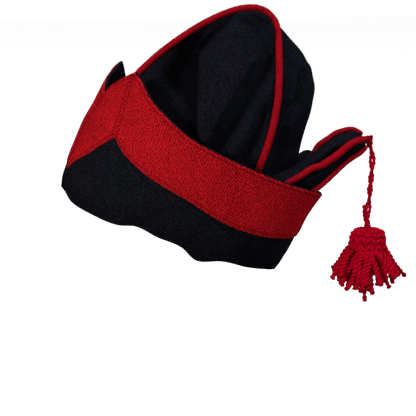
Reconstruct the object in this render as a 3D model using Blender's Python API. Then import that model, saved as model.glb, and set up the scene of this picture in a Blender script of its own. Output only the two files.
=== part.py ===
"""Side cap of dark wool cloth, as it is worn: tilted back, with its two front peaks up.

A soft crown bag stands inside a turned-up band. A wide red tape runs round the band and rises
to two mitred peaks over the forehead, and a red piping follows the crown's crest and goes down
its near side. A piped tail comes out of the pocket behind the crown and carries a tassel.

Frame: +Z up, the cap's front towards -Y, the wearer's left towards +X, and the origin in the
middle of the head opening. The cloth is drawn on a level cap, whose heights start at the rim,
and the empty named worn_cap tilts it back. The cord and its tassel hang upright.
"""

import math

import bmesh
import bpy
import numpy as np
from mathutils import Matrix, Vector
from mathutils.bvhtree import BVHTree

# Head opening and how the cap is worn
RIM_LENGTH = 0.204
RIM_WIDTH = 0.170
WORN_TILT = math.radians(22.7)

# Cloth
CROWN_CLOTH = 0.0022
TURN_UP_CLOTH = 0.0028
TAPE_CLOTH = 0.0012
TAIL_CLOTH = 0.0016
FIT_GAP = 0.0003

# Turned-up band and its tape
PEAK_HEIGHT = 0.116
RIM_DIP = 0.008
FRONT_CREASE = 0.0048
CREASE_TURN = 9
TAPE_REVEAL = 0.0016

# Crown bag
CROWN_HEIGHT = 0.2035
CROWN_FOLD = 0.009
CREST_INSET = 1.5

# Pipings
CROWN_PIPING_DIAMETER = 0.0055
TAIL_PIPING_DIAMETER = 0.0045

# Tail, measured along its middle line and across its face
TAIL_WIDTH = 0.0198
TAIL_THICKNESS = 0.013

# Tassel and its cord
CORD_DIAMETER = 0.0055
TASSEL_HEAD_WIDTH = 0.033
TASSEL_HEAD_HEIGHT = 0.019
TASSEL_LOCK_LENGTH = 0.044
TASSEL_LOCK_WIDTH = 0.0072

# Turns round the cap where the band, the tape and the crown have a line of points, in degrees
# from the front: close together at the peaks, wider at the sides and the back
PEAK_TURN = 27
TAPE_CORNER_TURN = 35.5
TURNS = (0, 3, 6, 10, 15, 20, 24, PEAK_TURN, 31, TAPE_CORNER_TURN, 40, 46, 52, 58, 64, 71, 78,
         85, 92, 99, 106, 113, 120, 128, 136, 145, 154, 163, 172, 180)

# Outer face of the band by height: rise as a share of the peak height, front and back reach as
# shares of half the rim's length, side reach as a share of half its width, and how deep the
# middle of the front is creased as a share of the crease
BAND_FACE = (
    # rise, front, side, back, dent
    (0.00, 1.012, 1.000, 0.990, 0.00),
    (0.10, 1.032, 1.012, 1.014, 0.30),
    (0.19, 1.035, 1.020, 1.028, 0.40),
    (0.33, 1.029, 1.031, 1.044, 0.45),
    (0.52, 1.024, 1.045, 1.069, 0.60),
    (0.68, 0.999, 1.057, 1.120, 0.80),
    (1.00, 0.966, 1.075, 1.200, 1.00),
)

# Rows of points of the band: below the tape as shares of the way from the rim to its foot, and
# under the tape as shares of its own width
BELOW_TAPE_ROWS = (0, 0.35, 0.7)
TAPE_ROWS = (0, 0.33, 0.67, 1)

# Top edge of the band on the near and the far side, as shares of the peak height, and the foot
# of the tape as a share of the height of the edge over it
BAND_EDGES = (
    # turn, near top, far top, tape foot
    (0.0, 0.767, 0.767, 0.198),
    (6.0, 0.795, 0.800, 0.238),
    (12.0, 0.850, 0.862, 0.280),
    (18.0, 0.905, 0.925, 0.322),
    (23.0, 0.957, 0.982, 0.362),
    (PEAK_TURN, 1.000, 1.026, 0.405),
    (31.0, 0.982, 1.000, 0.468),
    (TAPE_CORNER_TURN, 0.951, 0.962, 0.548),
    (44.0, 0.871, 0.876, 0.510),
    (53.0, 0.815, 0.818, 0.482),
    (63.0, 0.759, 0.760, 0.466),
    (72.0, 0.720, 0.722, 0.459),
    (80.5, 0.703, 0.706, 0.444),
    (91.0, 0.690, 0.693, 0.402),
    (103.0, 0.679, 0.684, 0.368),
    (120.0, 0.672, 0.675, 0.370),
    (138.0, 0.678, 0.676, 0.405),
    (160.0, 0.678, 0.674, 0.446),
    (180.0, 0.672, 0.672, 0.452),
)

# How far the rolled rim dips below the level line, as shares of the dip
RIM_WAVES = (
    # turn, near, far
    (0.0, 0.00, 0.00),
    (10.0, 0.10, 0.10),
    (23.0, 0.62, 0.45),
    (38.0, 0.76, 0.55),
    (54.0, 0.62, 0.45),
    (63.0, 0.00, 0.20),
    (74.0, 0.18, 0.15),
    (86.0, 0.25, 0.30),
    (95.0, 1.00, 0.45),
    (108.0, 0.25, 0.30),
    (125.0, 0.10, 0.10),
    (142.0, -0.10, 0.00),
    (180.0, 0.00, 0.00),
)

# Crest of the crown from its front end over the top to its back end: reach as a share of half
# the rim's length, rise as a share of the crown's height
CREST = (
    # turn, reach, rise
    (0.0, -0.735, 0.562),
    (15.0, -0.645, 0.655),
    (30.0, -0.535, 0.746),
    (45.0, -0.397, 0.842),
    (60.0, -0.250, 0.922),
    (75.0, -0.110, 0.977),
    (90.0, 0.028, 1.000),
    (105.0, 0.176, 0.984),
    (120.0, 0.350, 0.947),
    (135.0, 0.525, 0.904),
    (150.0, 0.675, 0.831),
    (165.0, 0.750, 0.733),
    (180.0, 0.785, 0.603),
)

# Width of the crown by height, as a share of its width at the rim: a ridge over the front and
# the top, a round back
CROWN_SIDE = (
    # rise, ridge, round
    (0.00, 1.000, 1.000),
    (0.20, 0.972, 0.975),
    (0.42, 0.915, 0.930),
    (0.58, 0.845, 0.870),
    (0.72, 0.735, 0.785),
    (0.84, 0.570, 0.675),
    (0.92, 0.400, 0.520),
    (0.97, 0.225, 0.335),
    (1.00, 0.000, 0.000),
)
ROUND_BACK_TURN = 100
CROWN_ROWS = (0, 0.13, 0.26, 0.37, 0.45, 0.52, 0.58, 0.635, 0.685, 0.73, 0.77, 0.81, 0.845,
              0.88, 0.91, 0.937, 0.96, 0.98, 1)

# The folds fade out over this share of the way up to the crest, from this share up the crown
# over this length, and over this turn next to the front and the back
CREST_FADE = 0.08
FOOT_FADE_START = 0.12
FOOT_FADE_LENGTH = 0.22
END_FADE_TURN = 12
# How fast the rim's waves fade out up the crown
RIM_FADE_POWER = 6

# Folds of the crown's cloth, each between two places given as reach and rise, as shares of half
# the rim's length and of the crown's height. The widths on its front and back side are shares of
# the crown's height, the depth is a share of the fold size and negative for a valley
NEAR_FOLDS = (
    # start reach, start rise, end reach, end rise, front width, back width, depth
    (-0.14, 0.955, -0.42, 0.745, 0.020, 0.110, 0.55),
    (-0.42, 0.745, -0.27, 0.440, 0.045, 0.120, 0.45),
    (-0.27, 0.950, -0.44, 0.800, 0.030, 0.022, 0.30),
    (-0.52, 0.660, -0.50, 0.560, 0.075, 0.065, -0.95),
    (0.20, 0.760, -0.12, 0.410, 0.050, 0.050, -0.50),
    (0.24, 0.640, 0.10, 0.430, 0.030, 0.030, 0.20),
    (0.55, 0.480, 0.60, 0.330, 0.085, 0.110, -0.75),
    (0.40, 0.880, 0.45, 0.700, 0.025, 0.030, -0.30),
    (0.50, 0.860, 0.54, 0.680, 0.025, 0.030, 0.22),
)
FAR_FOLDS = (
    # start reach, start rise, end reach, end rise, front width, back width, depth
    (-0.35, 0.860, -0.20, 0.450, 0.060, 0.090, 0.35),
    (-0.50, 0.640, -0.46, 0.520, 0.070, 0.060, -0.60),
    (0.22, 0.800, 0.06, 0.420, 0.055, 0.055, -0.45),
    (0.52, 0.800, 0.56, 0.520, 0.040, 0.050, -0.30),
)

# Route of the crown's piping: up the front, along the crest and down the near side. The rise is
# a share of the way from the rim to the crest
PIPING_ROUTE = (
    # turn, rise
    (0.0, 0.56),
    (0.0, 1.000),
    (96.0, 1.000),
    (101.0, 0.990),
    (102.3, 0.940),
    (105.0, 0.860),
    (108.2, 0.780),
    (110.8, 0.700),
    (112.3, 0.610),
    (112.6, 0.530),
    (112.0, 0.460),
    (110.8, 0.370),
    (110.0, 0.300),
)

# Tail from its flattened root in the pocket to its tip: side, reach and rise of its middle line
# as shares of half the rim's width, half its length and the peak height, then the tail's width
# and thickness there as shares of its full width and thickness
TAIL_SECTIONS = (
    # side, reach, rise, width, thickness
    (0.776, 0.544, 0.370, 1.00, 0.34),
    (0.753, 0.547, 0.480, 1.10, 0.42),
    (0.700, 0.552, 0.578, 1.18, 0.60),
    (0.624, 0.645, 0.638, 1.18, 0.75),
    (0.519, 0.780, 0.748, 1.12, 0.90),
    (0.408, 0.934, 0.907, 1.06, 1.00),
    (0.329, 1.090, 1.062, 1.00, 1.00),
    (0.276, 1.264, 1.168, 0.84, 0.85),
)
TAIL_ROOT_FACE = (0.76, 0.65, 0.00)
TAIL_TIP_FACE = (0.82, 0.12, 0.56)
TAIL_TWIST_END = 0.7
TAIL_NEAR_SHARE = 0.6
TAIL_PUFF = 0.35
TAIL_TIP_SHARE = 0.10
TAIL_SEAM_SHIFT = 0.38
TAIL_SEAMS = (
    # name, side of the tail's width, share of the length where its piping starts
    ("top", 1, 0.58),
    ("near", 0, 0.30),
    ("bottom", -1, 0.42),
)
TAIL_PIPING_END = 0.35
TAIL_ROWS = (0, 0.12, 0.24, 0.36, 0.48, 0.60, 0.72, 0.82, 0.90, 0.94, 0.97, 0.99, 1)
TAIL_SIDES = 20

# Route of the tassel's cord from the tip of the tail, in metres: aside, back and down
CORD_ROUTE = (
    (-0.0004, 0.0026, -0.0022),
    (-0.0003, 0.0038, 0.0045),
    (0.0000, 0.0062, 0.0140),
    (0.0002, 0.0060, 0.0290),
    (0.0000, 0.0050, 0.0430),
    (-0.0003, 0.0048, 0.0510),
    (0.0000, 0.0036, 0.0620),
    (0.0000, 0.0034, 0.0730),
    (0.0000, 0.0036, 0.0800),
)

# Tassel's head: reach as a share of half its width, drop as a share of its height
TASSEL_HEAD = (
    # reach, drop
    (0.34, 0.00),
    (0.76, 0.20),
    (1.00, 0.56),
    (0.98, 0.84),
    (0.64, 1.00),
    (0.34, 1.03),
)
TASSEL_SIDES = 16

# Locks of the tassel in two rings. They leave the head between two of its rows of points, count
# from the top, and reach a spread and a drop, as shares of the lock length
TASSEL_LOCKS = (
    # head row, step round the head, spread, drop
    (3, 1, 0.46, 0.60),
    (4, 2, 0.22, 0.90),
)
LOCK_SWAY = 0.12
LOCK_SWAY_TURN = 5.1
LOCK_BOW = 0.35
LOCK_STEPS = (
    # share of the way, thickness
    (0.18, 0.80),
    (0.42, 1.00),
    (0.70, 0.95),
    (0.92, 0.75),
    (1.00, 0.45),
)

# Colours and finish
CLOTH_COLOUR = (0.008, 0.009, 0.015)
TAPE_COLOUR = (0.36, 0.006, 0.010)
PIPING_COLOUR = (0.34, 0.004, 0.010)
TASSEL_COLOUR = (0.36, 0.003, 0.008)
CLOTH_ROUGHNESS = 0.95
TAPE_ROUGHNESS = 0.85
PIPING_ROUGHNESS = 0.8
SHARP_ANGLE = math.radians(60)

# Points this close are one point, and a route is first drawn with this many
MERGE_DISTANCE = 1e-6
ROUTE_POINTS = 400
# Steps over which the slope of a surface is taken: a turn, and a share of the way up or along
SLOPE_TURN = 0.5
SLOPE_SHARE = 0.004


def smooth(knots, values, at):
    """A smooth curve through a table's values: cubic pieces whose slope at a row is the mean of
    the slopes on both sides."""
    knots = np.asarray(knots, float)
    values = np.asarray(values, float)
    steps = np.diff(knots)
    rises = np.diff(values) / steps
    slopes = np.concatenate((rises[:1], (rises[:-1] + rises[1:]) / 2, rises[-1:]))
    at = np.clip(at, knots[0], knots[-1])
    piece = np.clip(np.searchsorted(knots, at, side="right") - 1, 0, len(steps) - 1)
    step = steps[piece]
    share = (at - knots[piece]) / step
    rest = 1 - share
    return (rest * rest * (1 + 2 * share) * values[piece]
            + share * share * (1 + 2 * rest) * values[piece + 1]
            + share * rest * step * (rest * slopes[piece] - share * slopes[piece + 1]))


def column(table, index, at, corner=None):
    """One column of a table, read at any place. The curve has a corner at one row if asked."""
    rows = np.asarray(table, float)
    at = np.asarray(at, float)
    if corner is None:
        return smooth(rows[:, 0], rows[:, index], at)
    before = rows[rows[:, 0] <= corner]
    after = rows[rows[:, 0] >= corner]
    return np.where(at <= corner, smooth(before[:, 0], before[:, index], at),
                    smooth(after[:, 0], after[:, index], at))


def ease(share):
    """Rises softly from 0 to 1."""
    share = np.clip(share, 0, 1)
    return share * share * (3 - 2 * share)


def two_sided(table, turn, corner=None):
    """A table whose first column holds the near side and whose second holds the far side. Turns
    run from -180 degrees, round the far side, to 180."""
    near = column(table, 1, np.abs(turn), corner)
    far = column(table, 2, np.abs(turn), corner)
    return np.where(np.asarray(turn) >= 0, near, far)


def rim_height(turn):
    return -RIM_DIP * two_sided(RIM_WAVES, turn)


def edge_height(turn):
    return PEAK_HEIGHT * two_sided(BAND_EDGES, turn, PEAK_TURN)


def tape_foot_height(turn):
    return edge_height(turn) * column(BAND_EDGES, 3, np.abs(turn), TAPE_CORNER_TURN)


def band_point(turn, height, outwards=0.0):
    """The band's outer face: an oval whose front, side and back reach follow the height."""
    angle = np.radians(turn)
    rise = np.asarray(height) / PEAK_HEIGHT
    front, side, back, dent = (column(BAND_FACE, index, rise) for index in (1, 2, 3, 4))
    reach = np.where(np.cos(angle) > 0, front, back) * RIM_LENGTH / 2 + outwards
    reach = reach - dent * FRONT_CREASE * np.exp(-(np.asarray(turn) / CREASE_TURN) ** 2)
    across = side * RIM_WIDTH / 2 + outwards
    return np.stack((across * np.sin(angle), -reach * np.cos(angle), height), axis=-1)


def fold_relief(folds, reach, rise):
    """How far folds stand out. A fold is a soft hump along the line between its two ends, as
    wide on each side of that line as its row says."""
    relief = np.zeros(np.shape(reach))
    tallness = CROWN_HEIGHT / (RIM_LENGTH / 2)
    for start_reach, start_rise, end_reach, end_rise, front_width, back_width, depth in folds:
        line = np.array((end_reach - start_reach, (end_rise - start_rise) * tallness))
        off = np.stack((reach - start_reach, (rise - start_rise) * tallness), axis=-1)
        share = np.clip(off @ line / (line @ line), 0, 1)
        distance = np.linalg.norm(off - share[..., None] * line, axis=-1)
        behind = (off[..., 0] * line[1] - off[..., 1] * line[0]) * np.sign(line[1]) > 0
        width = np.where(behind, back_width, front_width) * tallness
        relief += depth * np.exp(-(distance / width) ** 2)
    return relief * CROWN_FOLD


def crown_base(turn, rise, inset=0.0):
    """The crown without folds. A line up the crown starts on the rim, inside the band, and ends
    on the crest: the turn says which line, the rise how far up it a point is. The inset makes
    the same shape smaller, for the inner side of the cloth."""
    away = np.abs(turn)
    foot = band_point(away, np.zeros(np.shape(away)), -(TURN_UP_CLOTH + FIT_GAP + inset))
    crest_reach = column(CREST, 1, away) * (RIM_LENGTH / 2 - CREST_INSET * inset)
    crest_height = column(CREST, 2, away) * (CROWN_HEIGHT - CREST_INSET * inset)
    roundness = ease((away - ROUND_BACK_TURN) / (180 - ROUND_BACK_TURN))
    ridge, round_back = column(CROWN_SIDE, 1, rise), column(CROWN_SIDE, 2, rise)
    x = foot[..., 0] * (ridge + (round_back - ridge) * roundness)
    y = foot[..., 1] + (crest_reach - foot[..., 1]) * rise
    z = crest_height * rise + rim_height(turn) * (1 - rise) ** RIM_FADE_POWER
    return np.stack((x * np.where(np.asarray(turn) < 0, -1, 1), y, z), axis=-1)


def crown_point(turn, rise, inset=0.0):
    """The crown with its folds, which stand square to the plain crown and fade out towards the
    crest and down inside the band."""
    turn, rise = np.broadcast_arrays(np.asarray(turn, float), np.asarray(rise, float))
    base = crown_base(turn, rise)
    ahead = crown_base(turn + SLOPE_TURN, rise) - crown_base(turn - SLOPE_TURN, rise)
    up = (crown_base(turn, np.minimum(rise + SLOPE_SHARE, 1))
          - crown_base(turn, np.maximum(rise - SLOPE_SHARE, 0)))
    outward = np.cross(ahead, up)
    outward /= np.maximum(np.linalg.norm(outward, axis=-1, keepdims=True), 1e-12)
    reach = base[..., 1] / (RIM_LENGTH / 2)
    height = base[..., 2] / CROWN_HEIGHT
    relief = np.where(turn >= 0, fold_relief(NEAR_FOLDS, reach, height),
                      fold_relief(FAR_FOLDS, reach, height))
    relief *= ease((1 - rise) / CREST_FADE)
    relief *= ease((rise - FOOT_FADE_START) / FOOT_FADE_LENGTH)
    relief *= ease(np.abs(turn) / END_FADE_TURN) * ease((180 - np.abs(turn)) / END_FADE_TURN)
    return crown_base(turn, rise, inset) + outward * relief[..., None]


def unit(vectors):
    return vectors / np.linalg.norm(vectors, axis=-1, keepdims=True)


def along_rows(rows, share):
    """A smooth curve through evenly numbered rows of values, read at shares of the way."""
    rows = np.asarray(rows, float)
    knots = np.linspace(0, 1, len(rows))
    return np.stack([smooth(knots, values, share) for values in rows.T], axis=-1)


def even_steps(points, step):
    """Points at even steps along a line of close points."""
    reached = np.concatenate(((0,), np.cumsum(np.linalg.norm(np.diff(points, axis=0), axis=1))))
    count = max(2, round(reached[-1] / step) + 1)
    wanted = np.linspace(0, reached[-1], count)
    return np.stack([np.interp(wanted, reached, points[:, axis]) for axis in range(3)], axis=-1)


def tail_frame(share):
    """Middle line of the tail with its half width, its thickness, and the directions across its
    face and out of it."""
    rows = along_rows(TAIL_SECTIONS, share)
    middle = rows[..., :3] * (RIM_WIDTH / 2, RIM_LENGTH / 2, PEAK_HEIGHT)
    ends = [along_rows(TAIL_SECTIONS, np.clip(share + step, 0, 1))[..., :3]
            * (RIM_WIDTH / 2, RIM_LENGTH / 2, PEAK_HEIGHT) for step in (-SLOPE_SHARE, SLOPE_SHARE)]
    forward = unit(ends[1] - ends[0])
    twist = ease(share / TAIL_TWIST_END)[..., None]
    face = np.array(TAIL_ROOT_FACE) * (1 - twist) + np.array(TAIL_TIP_FACE) * twist
    face = unit(face - (forward * face).sum(axis=-1, keepdims=True) * forward)
    across = np.cross(face, forward)
    round_tip = np.sqrt(np.clip((1 - share) / TAIL_TIP_SHARE, 0, 1)
                        * (2 - np.clip((1 - share) / TAIL_TIP_SHARE, 0, 1)))
    half_width = rows[..., 3] * TAIL_WIDTH / 2 * round_tip
    thickness = rows[..., 4] * TAIL_THICKNESS * round_tip
    return middle, half_width, thickness, across, face


def seam_angle(share, side):
    """Where a seam lies round the tail. The near face's seam starts closer to the top edge."""
    return np.arccos(np.where(side == 0, TAIL_SEAM_SHIFT * (1 - share), side))


def tail_point(share, angle):
    """The tail's skin: the near face is two puffed strips that meet at the near seam, the far
    face is one flatter strip. The angle runs round the tail from its top edge over the face."""
    middle, half_width, thickness, across, face = tail_frame(share)
    side = np.cos(angle)
    seam = np.cos(seam_angle(share, 0))
    away = np.abs(side - seam) / (1 - np.sign(side - seam) * seam)
    near = 1 - away + TAIL_PUFF * np.sin(np.pi * away)
    out = np.where(np.sin(angle) >= 0, TAIL_NEAR_SHARE * near,
                   -(1 - TAIL_NEAR_SHARE) * np.abs(np.sin(angle)))
    return (middle + across * (half_width * side)[..., None]
            + face * (thickness * out)[..., None])


def add_mesh(name, colour, roughness, bm, holder):
    """One named object with its own material, shaded smooth, on the empty that carries it."""
    mesh = bpy.data.meshes.new(name)
    bmesh.ops.recalc_face_normals(bm, faces=bm.faces)
    bm.to_mesh(mesh)
    bm.free()
    mesh.shade_smooth()
    mesh.set_sharp_from_angle(angle=SHARP_ANGLE)
    return add_object(name, mesh, colour, roughness, holder)


def add_object(name, data, colour, roughness, holder):
    piece = bpy.data.objects.new(name, data)
    bpy.context.scene.collection.objects.link(piece)
    piece.parent = holder
    material = bpy.data.materials.new(name)
    material.use_nodes = True
    shader = material.node_tree.nodes["Principled BSDF"]
    shader.inputs["Base Color"].default_value = (*colour, 1)
    shader.inputs["Roughness"].default_value = roughness
    data.materials.append(material)
    return piece


def sheet(points, closed_round=True):
    """A skin of triangles over a grid of points, rows by columns."""
    bm = bmesh.new()
    rows = [[bm.verts.new(point) for point in row] for row in points]
    count = len(rows[0])
    for low, high in zip(rows, rows[1:]):
        for index in range(count if closed_round else count - 1):
            after = (index + 1) % count
            bm.faces.new((low[index], low[after], high[after]))
            bm.faces.new((low[index], high[after], high[index]))
    bm.normal_update()
    return bm


def merge_points(bm):
    bmesh.ops.remove_doubles(bm, verts=bm.verts, dist=MERGE_DISTANCE)
    bmesh.ops.dissolve_degenerate(bm, edges=bm.edges, dist=MERGE_DISTANCE / 10)


def thicken(piece, thickness, outwards):
    """Gives a skin its wall: outwards from the skin, or inwards from it."""
    wall = piece.modifiers.new("wall", "SOLIDIFY")
    wall.thickness = thickness
    wall.offset = 1 if outwards else -1
    wall.use_even_offset = True


def add_tube(name, points, diameter, sides_level, colour, holder):
    """A round tube with filled ends along a line of points."""
    curve = bpy.data.curves.new(name, "CURVE")
    curve.dimensions = "3D"
    spline = curve.splines.new("POLY")
    spline.points.add(len(points) - 1)
    for point, place in zip(spline.points, points):
        point.co = (*place, 1)
    curve.bevel_depth = diameter / 2
    curve.bevel_resolution = sides_level
    curve.use_fill_caps = True
    return add_object(name, curve, colour, PIPING_ROUGHNESS, holder)


def signed_turns():
    """The turns all the way round, from the back round the far side to the front and on."""
    return np.array([-turn for turn in reversed(TURNS[1:])] + list(TURNS[:-1]), float)


def band_rows(turns):
    """Heights of the band's rows of points: rim, foot of the tape, its upper line, top edge."""
    rim, edge, foot = rim_height(turns), edge_height(turns), tape_foot_height(turns)
    tape_top = edge - TAPE_REVEAL
    below = [rim + (foot - rim) * share for share in BELOW_TAPE_ROWS]
    under_tape = [foot + (tape_top - foot) * share for share in TAPE_ROWS]
    return below, under_tape, [edge]


def make_turn_up(holder):
    turns = signed_turns()
    below, under_tape, top = band_rows(turns)
    skin = sheet([band_point(turns, height) for height in below + under_tape + top])
    piece = add_mesh("turn_up", CLOTH_COLOUR, CLOTH_ROUGHNESS, skin, holder)
    thicken(piece, TURN_UP_CLOTH, outwards=False)


def make_band_tape(holder):
    turns = signed_turns()
    _, under_tape, _ = band_rows(turns)
    skin = sheet([band_point(turns, height, FIT_GAP) for height in under_tape])
    piece = add_mesh("band_tape", TAPE_COLOUR, TAPE_ROUGHNESS, skin, holder)
    thicken(piece, TAPE_CLOTH, outwards=True)


def make_crown(holder):
    """The bag, open at the rim: an inner and an outer skin that meet there. Returns a tree of
    the outer skin, for what lies on it."""
    turns = signed_turns()
    outer = [crown_point(turns, rise) for rise in CROWN_ROWS]
    inner = [crown_point(turns, rise, CROWN_CLOTH) for rise in CROWN_ROWS]
    skin = sheet(outer)
    tree = BVHTree.FromBMesh(skin)
    skin.free()
    bm = sheet(inner[::-1] + outer)
    merge_points(bm)
    add_mesh("crown", CLOTH_COLOUR, CLOTH_ROUGHNESS, bm, holder)
    return tree


def lay_on(tree, points, distance):
    """Moves a line of points off a skin until each is at one distance from it."""
    laid = []
    for point in points:
        place = Vector(point)
        for _ in range(3):
            nearest, normal, _, _ = tree.find_nearest(place)
            away = place - nearest
            if away.normalized().dot(normal) < -0.5 or away.length < distance / 10:
                away = normal
            place = nearest + away.normalized() * distance
        laid.append(place)
    return np.array(laid)


def make_crown_piping(tree, holder):
    rows = np.array(PIPING_ROUTE)
    share = np.linspace(0, len(rows) - 1, ROUTE_POINTS)
    turn, rise = (np.interp(share, np.arange(len(rows)), values) for values in rows.T)
    distance = CROWN_PIPING_DIAMETER / 2 + FIT_GAP
    seam = crown_point(turn, rise)
    away = unit(seam - (0, 0, CROWN_HEIGHT / 2))
    route = even_steps(seam + away * distance, CROWN_PIPING_DIAMETER / 2)
    route = even_steps(lay_on(tree, route, distance), CROWN_PIPING_DIAMETER)
    add_tube("crown_piping", lay_on(tree, route, distance), CROWN_PIPING_DIAMETER, 1,
             PIPING_COLOUR, holder)


def make_tail(holder):
    """The tail's bag, open at its root. Returns a tree of its skin, for the pipings on it."""
    angles = np.radians(np.arange(0, 360, 360 / TAIL_SIDES))
    bm = sheet([tail_point(np.full(len(angles), share), angles) for share in TAIL_ROWS])
    merge_points(bm)
    tree = BVHTree.FromBMesh(bm)
    piece = add_mesh("tail", CLOTH_COLOUR, CLOTH_ROUGHNESS, bm, holder)
    thicken(piece, TAIL_CLOTH, outwards=False)
    return tree


def make_tail_pipings(tree, holder):
    """Three seams of the tail carry a piping: its two edges and the middle of its near face."""
    distance = TAIL_PIPING_DIAMETER / 2 + FIT_GAP
    for seam, side, start in TAIL_SEAMS:
        shares = np.linspace(start, 1 - TAIL_TIP_SHARE * TAIL_PIPING_END, ROUTE_POINTS)
        angle = seam_angle(shares, side)
        _, _, _, across, face = tail_frame(shares)
        outward = across * np.cos(angle)[:, None] + face * np.sin(angle)[:, None]
        seam_line = tail_point(shares, angle) + outward * distance
        route = even_steps(lay_on(tree, seam_line, distance), TAIL_PIPING_DIAMETER)
        add_tube(f"tail_piping_{seam}", lay_on(tree, route, distance), TAIL_PIPING_DIAMETER, 1,
                 PIPING_COLOUR, holder)


def tail_tip():
    """The tip of the tail in the world."""
    middle, *_ = tail_frame(np.array((1.0,)))
    return Matrix.Rotation(-WORN_TILT, 4, "X") @ Vector(middle[0])


def cord_points():
    aside_back_up = np.array(CORD_ROUTE) * (1, 1, -1)
    shares = np.linspace(0, 1, ROUTE_POINTS)
    close = along_rows(aside_back_up, shares) + np.array(tail_tip())
    return even_steps(close, 2 * CORD_DIAMETER)


def make_tassel_cord():
    add_tube("tassel_cord", cord_points(), CORD_DIAMETER, 2, TASSEL_COLOUR, None)


def add_lock(bm, face, spread, drop, width):
    """One lock of the fringe: starts as a face of the head, bends down and tapers to its end."""
    start = face.calc_center_median()
    radial = Vector((start.x, start.y, 0)).normalized()
    aside = Vector((0, 0, 1)).cross(radial)
    corners = [(math.copysign(1, (vert.co - start).dot(aside)),
                math.copysign(1, (vert.co - start).dot(radial))) for vert in face.verts]
    ring = list(face.verts)
    bm.faces.remove(face)
    end = Vector((radial.x * spread, radial.y * spread, -drop))
    for share, thickness in LOCK_STEPS:
        bow = share * (1 + LOCK_BOW * (1 - share))
        place = start + Vector((end.x * bow, end.y * bow, end.z * share))
        outwards = 1 + LOCK_BOW * (1 - 2 * share)
        heading = Vector((end.x * outwards, end.y * outwards, end.z)).normalized()
        outer = aside.cross(heading).normalized()
        outer = outer if outer.dot(radial) > 0 else -outer
        half = width / 2 * thickness
        new_ring = [bm.verts.new(place + aside * (across * half) + outer * (out * half))
                    for across, out in corners]
        for index in range(len(ring)):
            after = (index + 1) % len(ring)
            bm.faces.new((ring[index], ring[after], new_ring[after], new_ring[index]))
        ring = new_ring
    bm.faces.new(ring)


def make_tassel():
    """A round head whose underside carries the fringe's locks, all one body."""
    bm = bmesh.new()
    top = Vector(cord_points()[-1]) - Vector((0, 0, FIT_GAP))
    angles = np.radians(np.arange(TASSEL_SIDES) * 360 / TASSEL_SIDES)
    rows = [[bm.verts.new((reach * TASSEL_HEAD_WIDTH / 2 * math.cos(angle),
                           reach * TASSEL_HEAD_WIDTH / 2 * math.sin(angle),
                           -drop * TASSEL_HEAD_HEIGHT)) for angle in angles]
            for reach, drop in TASSEL_HEAD]
    bands = []
    for high, low in zip(rows, rows[1:]):
        bands.append([bm.faces.new((high[index], low[index], low[(index + 1) % TASSEL_SIDES],
                                    high[(index + 1) % TASSEL_SIDES]))
                      for index in range(TASSEL_SIDES)])
    bm.faces.new(rows[0])
    bm.faces.new(list(reversed(rows[-1])))
    for row, step, spread, drop in TASSEL_LOCKS:
        for index in range(0, TASSEL_SIDES, step):
            sway = 1 + LOCK_SWAY * math.sin(LOCK_SWAY_TURN * (index + row))
            add_lock(bm, bands[row][index], spread * TASSEL_LOCK_LENGTH * sway,
                     drop * TASSEL_LOCK_LENGTH / sway, TASSEL_LOCK_WIDTH)
    piece = add_mesh("tassel", TASSEL_COLOUR, PIPING_ROUGHNESS, bm, None)
    piece.location = top


def main():
    for old in list(bpy.data.objects):
        bpy.data.objects.remove(old)
    worn_cap = bpy.data.objects.new("worn_cap", None)
    worn_cap.rotation_euler.x = -WORN_TILT
    bpy.context.scene.collection.objects.link(worn_cap)
    make_turn_up(worn_cap)
    make_band_tape(worn_cap)
    crown_skin = make_crown(worn_cap)
    make_crown_piping(crown_skin, worn_cap)
    tail_skin = make_tail(worn_cap)
    make_tail_pipings(tail_skin, worn_cap)
    make_tassel_cord()
    make_tassel()


if __name__ == "__main__":
    main()
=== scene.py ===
"""Side cap of dark wool cloth, dressed: the crown's cloth with its folds, the turned-up band, the
red tape with its mitres and stitches, the pipings, the soft tail, and the tassel on its cord.

Every piece is a surface worked out as whole arrays: a function of two numbers on a grid, or a
profile carried along a route. Heights and turns are those of the level cap, which worn() tilts
back. Lengths are in metres.
"""

import math

import bmesh
import bpy
import numpy as np
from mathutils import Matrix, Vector
from mathutils.bvhtree import BVHTree


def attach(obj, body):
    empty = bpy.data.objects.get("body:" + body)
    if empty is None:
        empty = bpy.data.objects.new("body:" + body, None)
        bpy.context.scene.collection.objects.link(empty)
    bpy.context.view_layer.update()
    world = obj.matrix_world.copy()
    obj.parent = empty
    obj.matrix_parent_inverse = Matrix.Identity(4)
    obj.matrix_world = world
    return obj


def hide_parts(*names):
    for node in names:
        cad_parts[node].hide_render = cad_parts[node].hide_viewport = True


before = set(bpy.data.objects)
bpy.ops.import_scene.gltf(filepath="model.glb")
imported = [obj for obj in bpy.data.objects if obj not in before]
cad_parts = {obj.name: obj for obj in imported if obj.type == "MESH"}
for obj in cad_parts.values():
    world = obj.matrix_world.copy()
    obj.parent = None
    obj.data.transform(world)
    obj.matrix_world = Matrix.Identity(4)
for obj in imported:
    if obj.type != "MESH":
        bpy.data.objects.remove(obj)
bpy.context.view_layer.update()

bl_info = {
    "name": "Side cap",
    "version": (1, 0, 0),
    "blender": (4, 5, 0),
    "location": "3D View > Sidebar > Side cap",
    "description": "Makes a soft wool side cap with its tape, pipings, tail and tassel",
    "category": "Object",
}

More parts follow.
